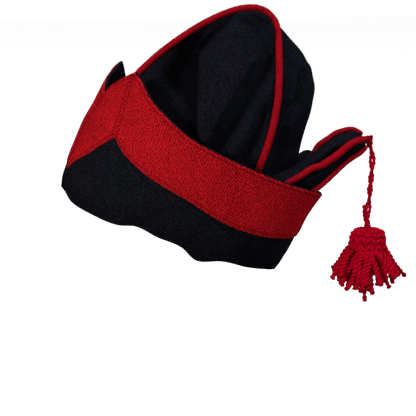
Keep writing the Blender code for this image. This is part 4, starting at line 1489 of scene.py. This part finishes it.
def tape_place(along, across):
    """Turn and height of a place on the tape. The mitre runs straight from the corner of the
    tape's foot to the peak, so the columns slant, and a line of equal share across the tape
    bends exactly at the mitre."""
    part = np.abs(along)
    turn_at = []
    for share in (0.0, 1.0, across):
        mitre = TAPE_CORNER_TURN + (PEAK_TURN - TAPE_CORNER_TURN) * share
        turn = np.where(part <= 1, mitre * part, mitre + (180 - mitre) * (part - 1))
        turn_at.append(turn * np.where(along < 0, -1, 1))
    foot_turn, top_turn, turn = turn_at
    foot = tape_foot_height(foot_turn)
    top = edge_height(top_turn) - TAPE_REVEAL
    return turn, foot + (top - foot) * across


def tape_point(along, across, outwards):
    """A place of the tape on the band's face, moved out of it."""
    turn, height = tape_place(along, across)
    return band_point(turn, height, outwards)


# Angle of the cloth's ribs to the side strip, in degrees, from its mitre to its back end
TAPE_GRAIN = (6, -10, -17, -22, -27)


def needle_bells(length, stitch):
    """1 at each needle hole and 0 midway between: a raised cosine to the third power."""
    return (0.5 + 0.5 * np.cos(math.tau * length / stitch)) ** 3


def needle_hole_shade(length, from_foot, width, stitch, inset, mitre_gap):
    """How much painted shade each place takes in a needle hole or the thread's pressed line beside
    it: bells of the distance to each row of stitches, highest once in each stitch."""
    mark = 0.0
    hole = ROW_SHADE + (1 - ROW_SHADE) * needle_bells(length, stitch)
    for strength, gap in ((FOOT_HOLES, from_foot - inset), (TOP_HOLES, width - inset - from_foot)):
        mark = mark + strength * hole * np.exp(-(gap / ROW_SHADE_WIDTH) ** 2)
    hole = MITRE_SHADE + (1 - MITRE_SHADE) * needle_bells(from_foot, stitch)
    mark = mark + MITRE_HOLES * hole * np.exp(
        -((mitre_gap - MITRE_HOLES_GAP) / MITRE_SHADE_WIDTH) ** 2)
    return np.clip(mark, 0, 1)


def tape_relief(length, from_foot, width, stitch, inset, mitre_gap):
    """Height of the tape's face over its edges: it sinks along the rows of stitches, deepest at
    each needle hole, and in the fold of each mitre."""
    sink = 0.0
    for gap in (from_foot - inset, width - inset - from_foot):
        depth = ROW_DEPTH + HOLE_DEPTH * needle_bells(length, stitch)
        sink = sink + depth * np.exp(-(gap / ROW_WIDTH) ** 2)
    depth = MITRE_ROW_DEPTH + MITRE_HOLE_DEPTH * needle_bells(from_foot, stitch)
    sink = sink + depth * np.exp(-((mitre_gap - MITRE_ROW_GAP) / ROW_WIDTH) ** 2)
    sink = sink + MITRE_DEPTH * np.exp(-(mitre_gap / MITRE_WIDTH) ** 2)
    return -sink


def grain_places(along, length, height):
    """Place of each point in the cloth that the tape is cut from, whose ribs keep one direction
    while the tape curves: the tape's steps are added up at the ribs' angle to it."""
    side = np.sign(along) * (np.abs(along) > 1)
    mitre = np.interp(1.0, along, length), np.interp(-1.0, along, length)
    gone = np.where(side > 0, (length - mitre[0]) / (length[-1] - mitre[0]),
                    (mitre[1] - length) / (mitre[1] - length[0]))
    angle = side * np.radians(np.interp(gone, np.linspace(0, 1, len(TAPE_GRAIN)), TAPE_GRAIN))
    step = np.diff(length, prepend=length[0])
    on, up = np.cumsum(step * np.cos(angle)), -np.cumsum(step * np.sin(angle))
    return np.stack(np.broadcast_arrays(on + height * np.sin(angle),
                                        up + height * np.cos(angle)), axis=-1)


def length_along(points):
    """How far each of a line's points lies along it."""
    return np.concatenate(((0,), np.cumsum(np.linalg.norm(np.diff(points, axis=0), axis=1))))


class SIDECAP_OT_tape(bpy.types.Operator):
    """Adds the red tape with its mitred peaks, and its rows of stitches"""
    bl_idname = "sidecap.tape"
    bl_label = "Tape"

    def execute(self, context):
        sizes = context.scene.side_cap_sizes
        stitch, inset = sizes.stitch_length, sizes.stitch_inset
        along = tape_columns()
        even = np.linspace(0, 1, TAPE_ROWS)
        across = (1 - TAPE_EVEN_SHARE) * (0.5 - 0.5 * np.cos(math.pi * even))
        across = across + TAPE_EVEN_SHARE * even
        length = length_along(tape_point(along, 0.5, 0.0))
        foot, top = (tape_point(along, share, 0.0) for share in (0.0, 1.0))
        width = np.linalg.norm(top - foot, axis=-1)
        from_foot = width * across[:, None]
        folds = [length[np.argmin(np.abs(along - place))] for place in (1, -1, 0)]
        mitre_gap = MITRE_SLANT * np.min([np.abs(length - fold) for fold in folds], axis=0)
        relief = tape_relief(length, from_foot, width, stitch, inset, mitre_gap)
        relief = relief + TAPE_UNEVENNESS * soft_noise(
            length * TAPE_UNEVEN_PACE, from_foot * TAPE_UNEVEN_PACE, seed=21)
        points = self.tape_rows(along, across, length, width, from_foot, relief, stitch)
        rows, columns = points.shape[:2]
        faces = grid_faces(rows + 1, columns, False) % (rows * columns)
        over = TAPE_EDGE_ROWS + TAPE_UNDER_ROWS
        heights = np.concatenate((np.zeros((TAPE_EDGE_ROWS, columns)), from_foot,
                                  np.broadcast_to(width, (over, columns))))
        uv = grain_places(along, length, heights)
        uvs = grid_uvs(np.concatenate((uv, uv[:1])))
        # Painted shade in the needle holes and along the rows of stitches
        hole_shade = needle_hole_shade(length, from_foot, width, stitch, inset, mitre_gap)
        marks = np.concatenate((np.zeros((TAPE_EDGE_ROWS, columns)), hole_shade,
                                np.zeros((over, columns))))
        piece = add_piece("tape", worn(points), faces, uvs, {"painted_shade": marks})
        tape = context.scene.side_cap_colours.tape
        weave = cloth_material(
            "tape_wool", "tape_weave",
            {"Colour": (*tape, 1), "Deep colour": shade_of(tape, TAPE_DEEP_SHARE)},
            roughness=0.9, bump_distance=0.0006, bump_strength=0.9)
        dress(piece, weave, "red_tape", "band_tape")
        self.add_stitches(context, along, length, width)
        return {"FINISHED"}

    def tape_rows(self, along, across, length, width, from_foot, relief, stitch):
        """The tape's closed cross-section, row by row: its foot edge, its face, its top edge,
        each edge a quarter round, and its underside."""
        edge = np.minimum(from_foot, width - from_foot)
        thick = TAPE_CLOTH * (TAPE_EDGE_THICKNESS
                              + (1 - TAPE_EDGE_THICKNESS) * ease(edge / TAPE_EDGE_WIDTH))
        face = tape_point(along[None], across[:, None], FIT_GAP + thick + relief)
        wave = TAPE_EDGE_WAVE * np.sin(math.tau * length / stitch)
        edges = []
        for share, way, row in ((0.0, -1, 0), (1.0, 1, -1)):
            turn, height = tape_place(along, np.full(along.shape, share))
            edges.append([
                band_point(turn, height + way * (TAPE_EDGE_REACH + wave) * math.sin(a),
                           FIT_GAP + TAPE_CLOTH * TAPE_EDGE_THICKNESS * math.cos(a)
                           - TAPE_EDGE_SINK * math.sin(a) + relief[row] * math.cos(a))
                for a in np.linspace(0, math.pi / 2, TAPE_EDGE_ROWS + 1)[1:]])
        under = [tape_point(along, share, TAPE_UNDER_REACH)
                 for share in np.linspace(*TAPE_UNDER_SHARES, TAPE_UNDER_ROWS)]
        return np.array(edges[0][::-1] + list(face) + edges[1] + under)

    def add_stitches(self, context, along, length, width):
        """Threads of the rows of stitches: short bows from hole to hole, all made as one array."""
        sizes = context.scene.side_cap_sizes
        inset, stitch = sizes.stitch_inset, sizes.stitch_length
        steps = np.linspace(*STITCH_SPAN, STITCH_ROWS)
        bow = STITCH_HEIGHT - STITCH_SINK * (2 * (steps - 0.5)) ** 4
        at = np.arange(STITCH_START * stitch, length[-1] - stitch, stitch)[:, None] + steps * stitch
        place, wide = np.interp(at, length, along), np.interp(at, length, width)
        rows = [tape_point(place, share, np.broadcast_to(bow, place.shape))
                for share in (inset / wide, (wide - inset) / wide)]
        share = np.arange(*MITRE_STITCH_SPAN, stitch / MITRE_LENGTH)[:, None] + (
            steps - 0.5) * stitch / MITRE_STITCH_LENGTH
        for mitre in (-1, 1):
            place = np.full(share.shape, mitre * (1 - MITRE_STITCH_OFF))
            rows.append(tape_point(place, share, np.broadcast_to(bow, place.shape)))
        routes = worn(np.concatenate(rows))
        outward = unit(routes * (1, 1, 0.0))
        points, faces, uvs, groove_shade = yarn_tubes(
            routes, outward, THREAD_DIAMETER, THREAD_LAY, THREAD_SIDES, phase=0.0,
            taper=STITCH_TAPER)
        piece = add_piece("tape_stitches", points, faces, uvs, {"groove_shade": groove_shade},
                          turn_out=False)
        tape = context.scene.side_cap_colours.tape
        # The thread is painted darker than the tape, as shade
        thread = cloth_material(
            "stitch_thread", "spun_wool",
            {"Colour": shade_of(tape, THREAD_SHARE),
             "Deep colour": shade_of(tape, THREAD_DEEP_SHARE), "Fibre pitch": 0.0003},
            roughness=0.8, bump_distance=0.0001, bump_strength=0.4)
        dress(piece, thread, "red_tape")


# Pipings

LAY_ON_ROUNDS = 3


def lay_on(tree, points, distance):
    """Moves a line of points off a skin until each is at one distance from it."""
    laid = []
    for point in points:
        place = Vector(point)
        for _ in range(LAY_ON_ROUNDS):
            nearest, normal, _, _ = tree.find_nearest(place)
            away = place - nearest
            if away.normalized().dot(normal) < -0.5 or away.length < distance / 10:
                away = normal
            place = nearest + away.normalized() * distance
        laid.append(place)
    return np.array(laid)


def skin_tree(points):
    """A closed grid of points as a skin whose nearest place can be asked for."""
    faces = grid_faces(*points.shape[:2], True)
    return BVHTree.FromPolygons(points.reshape(-1, 3).tolist(), faces.tolist())


def softened(route, reach):
    """The route with each point moved to the weighted mean of its neighbours on both sides. It is
    carried on past its ends, turned about each end point, so that the ends stay."""
    window = np.hanning(2 * reach + 3)[1:-1]
    longer = np.concatenate((2 * route[0] - route[reach:0:-1], route,
                             2 * route[-1] - route[-2:-reach - 2:-1]))
    return np.stack([np.convolve(column, window / window.sum(), "valid")
                     for column in longer.T], axis=-1)


PIPING_STEP = 0.0009
PIPING_UNEVENNESS = 0.035
PIPING_UNEVEN_PACE = 700
PIPING_UNEVEN_TWIST = 300
PIPING_CORD_SWELL = 0.018
PIPING_CORD_LAY = 0.0032


def piping_tube(route, outward, diameter, sides, seed):
    """A corded piping: a round profile along the route, a little uneven in width, with the
    slight rope-like swell of the cord inside it."""
    _, across, out = route_frames(route, outward)
    reached = length_along(route)
    round_it = np.linspace(0, math.tau, sides + 1)[:-1]
    uneven = 1 + PIPING_UNEVENNESS * soft_noise(
        reached[:, None] * PIPING_UNEVEN_PACE,
        round_it * 1.0 + reached[:, None] * PIPING_UNEVEN_TWIST, seed)
    swell = 1 + PIPING_CORD_SWELL * np.sin(round_it + reached[:, None] * math.tau / PIPING_CORD_LAY)
    wide = np.broadcast_to(diameter, (len(route), 1)) / 2
    radius = wide * uneven * swell * closing_radius(len(route))[:, None]
    points = carried(route, across, out, radius, np.broadcast_to(round_it, radius.shape))
    around = np.broadcast_to(np.linspace(0, math.pi * wide.mean() * 2, sides + 1),
                             (len(route), sides + 1))
    uv = np.stack((np.broadcast_to(reached[:, None], around.shape), around), axis=-1)
    return points.reshape(-1, 3), grid_faces(len(route), sides, True), grid_uvs(uv)


# The piping is painted darker towards its end, as shade where it goes down into the pocket
POCKET_SHADE = 0.55
POCKET_SHADE_START = 0.86
PIPING_SKIN_COLUMNS = 360
PIPING_SKIN_ROWS = 121
PIPING_SKIN_POWER = 1.3
CROWN_PIPING_POINTS = 2000
CROWN_PIPING_SIDES = 24


class SIDECAP_OT_crown_piping(bpy.types.Operator):
    """Adds the piping up the front of the crown, along its crest and down its near side"""
    bl_idname = "sidecap.crown_piping"
    bl_label = "Crown piping"

    def execute(self, context):
        turns = np.linspace(-180, 180, PIPING_SKIN_COLUMNS + 1)[:-1]
        rises = 1 - np.linspace(1, 0, PIPING_SKIN_ROWS) ** PIPING_SKIN_POWER
        tree = skin_tree(crown_base(turns[None], rises[:, None]))
        turn, rise = piping_places()
        distance = CROWN_PIPING_DIAMETER / 2 + FIT_GAP
        seam = crown_base(turn, rise)
        away = unit(seam - (0, 0, CROWN_HEIGHT / 2))
        route = even_steps(seam + away * distance, CROWN_PIPING_DIAMETER / 2)
        route = even_steps(lay_on(tree, route, distance), CROWN_PIPING_DIAMETER)
        route = lay_on(tree, route, distance - PIPING_SINK)
        route = even_steps(along_rows(route, np.linspace(0, 1, CROWN_PIPING_POINTS)), PIPING_STEP)
        outward = unit(route - (0, 0, CROWN_HEIGHT / 2))
        points, faces, uvs = piping_tube(route, outward, CROWN_PIPING_DIAMETER * PIPING_SWELL,
                                         CROWN_PIPING_SIDES, seed=31)
        gone = np.linspace(0, 1, len(route))
        shaded = POCKET_SHADE * ease((gone - POCKET_SHADE_START) / (1 - POCKET_SHADE_START))
        piece = add_piece("crown_piping_cord", worn(points), faces, uvs,
                          {"painted_shade": np.repeat(shaded, CROWN_PIPING_SIDES)})
        dress(piece, red_felt("piping_wool"), "red_piping", "crown_piping")
        return {"FINISHED"}


# Tail

TAIL_DENTS = (
    # share, side across the face, depth, length along, width across
    (0.760, -0.02, 0.0056, 0.050, 0.20),
    (0.680, 0.00, 0.0034, 0.110, 0.13),
    (0.540, 0.52, -0.0030, 0.260, 0.26),
)
TAIL_SHADE_DEPTH = 0.0045
TAIL_DENT_FADE = 0.1
TAIL_SWELL_FADE = 0.06
TAIL_UNEVENNESS = 0.0003
TAIL_UNEVEN_PACE = (26, 5)
TAIL_ROWS = 170
TAIL_ROW_POWER = 1.25
TAIL_STEP = 3.0
TAIL_SWELLS = (
    # edge (1 top, -1 bottom), share, reach, length along
    (1, 0.90, 0.0036, 0.16),
    (-1, 0.62, 0.0042, 0.17),
)

TAIL_PIPING_STEP = 2.2
TAIL_PIPING_POINTS = 900
TAIL_PIPING_SOFTENING = 10
TAIL_PIPING_SIDES = 20
# Thickness of each of the tail's pipings along it, as multiples of the plain one
TAIL_PIPING_WIDTHS = {
    "top": (1.05, 1.05, 1.00, 0.95),
    "near": (1.16, 1.24, 1.42, 1.20),
    "bottom": (0.95, 1.00, 1.00, 0.95),
}
# The top piping comes out from behind the cloth: it starts this far back and in
TAIL_TUCK_BACK = 0.0050
TAIL_TUCK_IN = 0.0060
TAIL_TUCK_SHARE = 0.24

# A rounded fold of the tail's cloth that stands up behind its root
TAIL_FOLD_SHARE = 0.65
TAIL_FOLD_PLACE = (0.0010, -0.0006, -0.0060)
TAIL_FOLD_SIZE = (0.0112, 0.0066, 0.0038)
TAIL_FOLD_UNEVENNESS = 0.06
TAIL_FOLD_ROWS = 33
TAIL_FOLD_COLUMNS = 48


def tail_swell(share, angle):
    """How far each place of the tail stands out across its face: a bell along each edge."""
    reach = 0.0
    for edge, at, out, length in TAIL_SWELLS:
        reach = reach + edge * out * (np.exp(-((share - at) / length) ** 2)
                                      * np.clip(edge * np.cos(angle), 0, 1))
    return reach * ease((1 - share) / TAIL_SWELL_FADE)


def tail_skin(shares, angles):
    """The tail with its dents: each is a soft hollow, deepest at its place on the near face.
    Returns its points and the painted shade of the hollows."""
    share, angle = np.broadcast_arrays(shares[:, None], angles[None])
    relief = np.zeros(share.shape)
    side = np.cos(angle)
    for at, across, depth, length, width in TAIL_DENTS:
        relief -= depth * np.exp(-((share - at) / length) ** 2 - ((side - across) / width) ** 2)
    relief = relief + TAIL_UNEVENNESS * soft_noise(
        share * TAIL_UNEVEN_PACE[0], side * TAIL_UNEVEN_PACE[1], seed=41)
    relief = relief * (np.sin(angle) > 0) * ease((1 - share) / TAIL_DENT_FADE)
    *_, across, _ = tail_frame(share)
    skin = tail_point(share, angle, relief) + across * tail_swell(share, angle)[..., None]
    return skin, np.clip(-relief / TAIL_SHADE_DEPTH, 0, 1) ** 2


class SIDECAP_OT_tail(bpy.types.Operator):
    """Adds the soft tail of three puffed strips, its fold and the pipings in its seams"""
    bl_idname = "sidecap.tail"
    bl_label = "Tail"

    def execute(self, context):
        shares = 1 - (1 - np.linspace(0, 1, TAIL_ROWS)) ** TAIL_ROW_POWER
        angles = np.radians(np.arange(0, 360, TAIL_STEP))
        skin, shade = tail_skin(shares, angles)
        root = skin[:1].mean(axis=1, keepdims=True)
        closed = np.concatenate((np.broadcast_to(root, skin[:1].shape), skin))
        piece = add_piece("tail_bag", worn(closed), grid_faces(len(closed), len(angles), True),
                          marks={"painted_shade": np.concatenate((shade[:1], shade))})
        wool = navy_cloth("tail_wool")
        dress(piece, wool, "tail_cloth", "tail")
        self.add_fold(wool)
        tree = skin_tree(skin)
        piping = red_felt("tail_piping_wool")
        for seed, (seam, side, start) in enumerate(TAIL_SEAMS, start=50):
            cord = self.add_piping(tree, seam, side, start, seed)
            dress(cord, piping, "red_piping", f"tail_piping_{seam}")
        return {"FINISHED"}

    def add_piping(self, tree, seam, side, start, seed):
        """The piping in one seam, laid on the tail's skin. The top one starts behind the cloth,
        from where it eases out."""
        distance = TAIL_PIPING_DIAMETER / 2 + FIT_GAP
        along = np.linspace(start, 1 - TAIL_TIP_SHARE * TAIL_PIPING_END, ROUTE_POINTS)
        angle = seam_angle(along, side)
        _, _, _, across, face = tail_frame(along)
        outward = across * np.cos(angle)[:, None] + face * np.sin(angle)[:, None]
        line = (tail_point(along, angle) + across * tail_swell(along, angle)[:, None]
                + outward * distance)
        route = even_steps(lay_on(tree, line, distance - PIPING_SINK),
                           TAIL_PIPING_DIAMETER * TAIL_PIPING_STEP)
        route = even_steps(along_rows(route, np.linspace(0, 1, TAIL_PIPING_POINTS)), PIPING_STEP)
        route = softened(route, TAIL_PIPING_SOFTENING)
        gone = np.linspace(0, 1, len(route))
        if seam == "top":
            tuck = (1 - ease(gone / TAIL_TUCK_SHARE))[:, None]
            route = route - tuck * (face[0] * TAIL_TUCK_BACK + across[0] * TAIL_TUCK_IN)
        wide = TAIL_PIPING_DIAMETER * along_rows(np.array(TAIL_PIPING_WIDTHS[seam])[:, None], gone)
        points, faces, uvs = piping_tube(route, np.broadcast_to(TAIL_TIP_FACE, route.shape),
                                         wide, TAIL_PIPING_SIDES, seed)
        return add_piece(f"tail_piping_{seam}_cord", worn(points), faces, uvs)

    def add_fold(self, wool):
        """An egg-shaped fold: its half sizes lie along the tail, across it and out of its face."""
        share = np.array((TAIL_FOLD_SHARE, TAIL_FOLD_SHARE + SLOPE_SHARE))
        middle, half_width, _, across, face = tail_frame(share)
        forward = unit(middle[1] - middle[0])
        axes = np.stack((forward, across[0], face[0]))
        centre = middle[0] + across[0] * half_width[0] + np.array(TAIL_FOLD_PLACE) @ axes
        up, around = np.meshgrid(np.linspace(0, math.pi, TAIL_FOLD_ROWS),
                                 np.linspace(0, math.tau, TAIL_FOLD_COLUMNS + 1)[:-1],
                                 indexing="ij")
        ball = np.stack((np.cos(up), np.sin(up) * np.cos(around), np.sin(up) * np.sin(around)),
                        axis=-1)
        uneven = soft_noise(ball[..., 0] * 2, ball[..., 1] * 2, seed=77)
        ball = ball * (1 + TAIL_FOLD_UNEVENNESS * uneven)[..., None]
        points = centre + (ball * TAIL_FOLD_SIZE) @ axes
        piece = add_piece("tail_fold", worn(points), grid_faces(*up.shape, True))
        return dress(piece, wool, "tail_cloth", "tail")


# Tassel

TASSEL_HEAD_PROFILE = (
    # reach as a share of half the head's width, drop as a share of its height
    (0.00, -0.02),
    (0.45, 0.00),
    (0.80, 0.06),
    (0.99, 0.22),
    (1.06, 0.46),
    (1.10, 0.78),
    (0.98, 0.98),
    (0.55, 1.06),
    (0.00, 1.07),
)
# The head's foot hangs a little to one side
HEAD_LEAN = (0.0004, 0.0018, 0.0)
HEAD_ROWS = 150
HEAD_COLUMNS = 260
HEAD_CORE = 0.87
HEAD_LOOSENESS = 0.05
HEAD_LOOSE_ROUND = 2.2
HEAD_LOOSE_DOWN = (3, -4)
HEAD_LENGTH = 0.03
HEAD_GIRTH = 0.1
# Its knit: how many stitches, how far they lean and wander, their shape and height, and the
# painted shade between them
KNIT_COLUMNS = 12
KNIT_ROWS = 7
KNIT_LEAN = 1.6
KNIT_WANDER = 0.16
KNIT_ROW_WANDER = 0.30
KNIT_SLANT = 0.62
KNIT_LOBE_POWER = 0.55
KNIT_LEG_POWER = 0.42
KNIT_HEIGHT = 0.0018
KNIT_LIFT = 0.0010
KNIT_SHADE = 0.30

STRAND_LAYERS = (
    # count, start reach as a share of half the head's width, then spread, drop and lift
    (30, 1.00, 0.0120, 0.0300, 0.0012),
    (24, 0.78, 0.0112, 0.0360, 0.0004),
    (16, 0.45, 0.0080, 0.0410, 0.0000),
)
LAYER_SHIFT = 0.37
STRAND_SHIFT = 0.12
SPREAD_RANGE = (0.75, 1.40)
DROP_RANGE = (0.82, 1.14)
STRAND_SWAY = 0.009
# Where the places that bend a strand lie, as shares of its spread and drop
RING_DROP = 0.90
FIRST_SPREAD = 0.16
FIRST_DROP = 0.10
SECOND_SPREAD = 0.42
SECOND_DROP = 0.55
END_SWAY = 1.6
STRAND_ROWS = 84
FRINGE_SEED = 7
STRAND_WAVE = 0.0007
STRAND_WAVE_PACE = 9
STRAND_LAY = 0.0080
STRAND_FACE_LIFT = 0.4
# A strand is drawn in above its end and swells into a small knot
STRAND_KNOT = (
    # swell, share of the length, reach
    (-0.22, 0.90, 0.035),
    (0.10, 0.965, 0.02),
)
# The strands of the near side are gathered at one place under the head's edge
GATHER_TURN = 80
GATHER_REACH = 0.0175
GATHER_DROP = 0.0178
GATHER_SHARE = 0.86
GATHER_WIDTH = 60
# The strands are longest at one place, measured along this direction, and shorter beside it
FRINGE_SIDE = (0.225, 0.974, 0.0)
LONGEST_PLACE = -0.30
LONGEST_WIDTH = 0.48
LONGEST_SHARE = 0.34
SHORTEST_SHARE = 0.78


def cubic_curves(places, steps):
    """Points on cubic curves, each given by four places: (1-s)^3 a + 3 (1-s)^2 s b +
    3 (1-s) s^2 c + s^3 d."""
    root, first, second, end = (place[:, None] for place in places)
    left = 1 - steps
    return (left ** 3 * root + 3 * left ** 2 * steps * first + 3 * left * steps ** 2 * second
            + steps ** 3 * end)


class SIDECAP_OT_tassel(bpy.types.Operator):
    """Adds the tassel: a knitted head and a fringe of twisted strands"""
    bl_idname = "sidecap.tassel"
    bl_label = "Tassel"

    def execute(self, context):
        route = cord_route()
        top = route[-1] - (0, 0, FIT_GAP)
        head = self.add_head(top)
        fringe = self.add_fringe(context.scene.side_cap_sizes.yarn_diameter, top)
        return {"FINISHED"}

    def add_head(self, top):
        """A dome whose face is knitted: rows of V-shaped stitches, each two slanted lobes. The
        knit's height is that of a lobe times that of a leg, each a rounded wave."""
        share = np.linspace(0, 1, HEAD_ROWS)[:, None]
        profile = along_rows(TASSEL_HEAD_PROFILE, share[:, 0])
        angle = np.linspace(0, math.tau, HEAD_COLUMNS + 1)[:-1][None]
        loose = soft_noise(np.cos(angle) * HEAD_LOOSE_ROUND + share * HEAD_LOOSE_DOWN[0],
                           np.sin(angle) * HEAD_LOOSE_ROUND + share * HEAD_LOOSE_DOWN[1],
                           seed=61)
        column_turn = KNIT_COLUMNS * angle / math.tau + KNIT_LEAN * share + KNIT_WANDER * loose
        slant = np.abs(column_turn % 1 - 0.5) * 2
        row_turn = KNIT_ROWS * share + KNIT_ROW_WANDER * loose - KNIT_SLANT * slant
        lobe = 0.5 + 0.5 * np.cos(math.tau * row_turn)
        leg = np.abs(np.sin(math.tau * column_turn))
        knit = lobe ** KNIT_LOBE_POWER * leg ** KNIT_LEG_POWER
        reach = profile[:, :1] * TASSEL_HEAD_WIDTH / 2 * HEAD_CORE + KNIT_HEIGHT * knit * (
            np.minimum(profile[:, :1] * 2, 1))
        reach = reach * (1 + HEAD_LOOSENESS * loose)
        drop = profile[:, 1:] * TASSEL_HEAD_HEIGHT - KNIT_LIFT * knit * (1 - profile[:, 1:])
        points = np.stack(np.broadcast_arrays(reach * np.cos(angle), reach * np.sin(angle), -drop),
                          axis=-1) + top
        points = points + (share * share)[..., None] * HEAD_LEAN
        uv = np.stack(np.broadcast_arrays(
            share * HEAD_LENGTH, np.linspace(0, HEAD_GIRTH, HEAD_COLUMNS + 1)), axis=-1)
        # Painted shade between the stitches, as a point value
        piece = add_piece("tassel_head", points, grid_faces(HEAD_ROWS, HEAD_COLUMNS, True),
                          grid_uvs(uv), {"groove_shade": KNIT_SHADE * (1 - knit)})
        return dress(piece, red_yarn("head_yarn"), "red_wool", "tassel")

    def layer_curves(self, draw, layer, top):
        """Four places of each strand of a layer: its root, two that bend it over the head's edge
        and down, and its end."""
        count, start, spread, drop, lift = STRAND_LAYERS[layer]
        down = np.array((0, 0, -1.0))
        angle = math.tau * (np.arange(count) + LAYER_SHIFT * layer) / count
        angle = angle + draw.uniform(-STRAND_SHIFT, STRAND_SHIFT, count)
        level = np.zeros(count)
        radial = np.stack((np.cos(angle), np.sin(angle), level), axis=-1)
        aside = np.stack((-np.sin(angle), np.cos(angle), level), axis=-1)
        spreads = radial * (spread * draw.uniform(*SPREAD_RANGE, count))[:, None]
        beside = (radial @ FRINGE_SIDE - LONGEST_PLACE) / LONGEST_WIDTH
        drops = drop * (SHORTEST_SHARE + LONGEST_SHARE * np.exp(-beside ** 2))
        drops = (drops * draw.uniform(*DROP_RANGE, count))[:, None]
        sway = aside * draw.uniform(-STRAND_SWAY, STRAND_SWAY, count)[:, None]
        ring = (top + down * TASSEL_HEAD_HEIGHT * RING_DROP
                + radial * (TASSEL_HEAD_WIDTH / 2) * start)
        near = math.radians(GATHER_TURN)
        towards = np.array((math.sin(near), -math.cos(near), 0.0))
        off = np.degrees(np.arccos(np.clip(radial @ towards, -1, 1)))
        drawn = (GATHER_SHARE * np.exp(-(off / GATHER_WIDTH) ** 4))[:, None]
        gather = top + towards * GATHER_REACH + down * GATHER_DROP
        return (ring * (1 - drawn) + gather * drawn,
                ring + spreads * FIRST_SPREAD + down * (drops * FIRST_DROP - lift),
                ring + spreads * SECOND_SPREAD + down * drops * SECOND_DROP + sway,
                ring + spreads + down * drops + sway * END_SWAY)

    def add_fringe(self, yarn_diameter, top):
        """Strands that leave the head's underside, turn over and hang down in a cone, each with
        a small knot at its end: a cubic curve per strand, drawn with the same seed each time."""
        draw = np.random.default_rng(FRINGE_SEED)
        share = np.linspace(0, 1, STRAND_ROWS)
        routes = np.concatenate([
            cubic_curves(self.layer_curves(draw, layer, top), share[None, :, None])
            for layer in range(len(STRAND_LAYERS))])
        count = len(routes)
        wobble = draw.uniform(0, math.tau, (count, 1))
        waves = STRAND_WAVE * np.sin(share * STRAND_WAVE_PACE + wobble) * share
        routes = routes + np.stack((waves, -waves[::-1], np.zeros(waves.shape)), axis=-1)
        width = np.ones(STRAND_ROWS)
        for swell, place, length in STRAND_KNOT:
            width = width + swell * np.exp(-((share - place) / length) ** 2)
        outward = unit(routes - top) + (0.0, 0.0, STRAND_FACE_LIFT)
        points, faces, uvs, groove_shade = yarn_tubes(
            routes, outward, yarn_diameter, STRAND_LAY, STRAND_SIDES,
            phase=draw.uniform(0, math.tau, count),
            taper=width * closing_radius(STRAND_ROWS, rounding_rows=3))
        piece = add_piece("tassel_fringe", points, faces, uvs, {"groove_shade": groove_shade})
        return dress(piece, red_yarn("fringe_yarn"), "red_wool", "tassel")


class SIDECAP_PT_panel(bpy.types.Panel):
    """Lists the cap's pieces and settings in the sidebar"""
    bl_idname = "SIDECAP_PT_panel"
    bl_label = "Side cap"
    bl_space_type = "VIEW_3D"
    bl_region_type = "UI"
    bl_category = "Side cap"

    def draw(self, context):
        layout = self.layout
        for settings in (context.scene.side_cap_colours, context.scene.side_cap_sizes):
            for name in settings.bl_rna.properties.keys():
                if name not in ("rna_type", "name"):
                    layout.prop(settings, name)
        for made in OPERATORS:
            layout.operator(made.bl_idname)


OPERATORS = (SIDECAP_OT_stage, SIDECAP_OT_tassel_cord, SIDECAP_OT_crown, SIDECAP_OT_turn_up,
             SIDECAP_OT_tape, SIDECAP_OT_crown_piping, SIDECAP_OT_tail, SIDECAP_OT_tassel)
CLASSES = (SideCapColours, SideCapSizes, *OPERATORS, SIDECAP_PT_panel)


def register():
    for made in CLASSES:
        bpy.utils.register_class(made)
    bpy.types.Scene.side_cap_colours = bpy.props.PointerProperty(type=SideCapColours)
    bpy.types.Scene.side_cap_sizes = bpy.props.PointerProperty(type=SideCapSizes)


def unregister():
    del bpy.types.Scene.side_cap_sizes
    del bpy.types.Scene.side_cap_colours
    for made in reversed(CLASSES):
        bpy.utils.unregister_class(made)


def main():
    register()
    bpy.ops.sidecap.stage()
    bpy.ops.sidecap.tassel_cord()
    bpy.ops.sidecap.crown()
    bpy.ops.sidecap.turn_up()
    bpy.ops.sidecap.tape()
    bpy.ops.sidecap.crown_piping()
    bpy.ops.sidecap.tail()
    bpy.ops.sidecap.tassel()


if __name__ == "__main__":
    main()
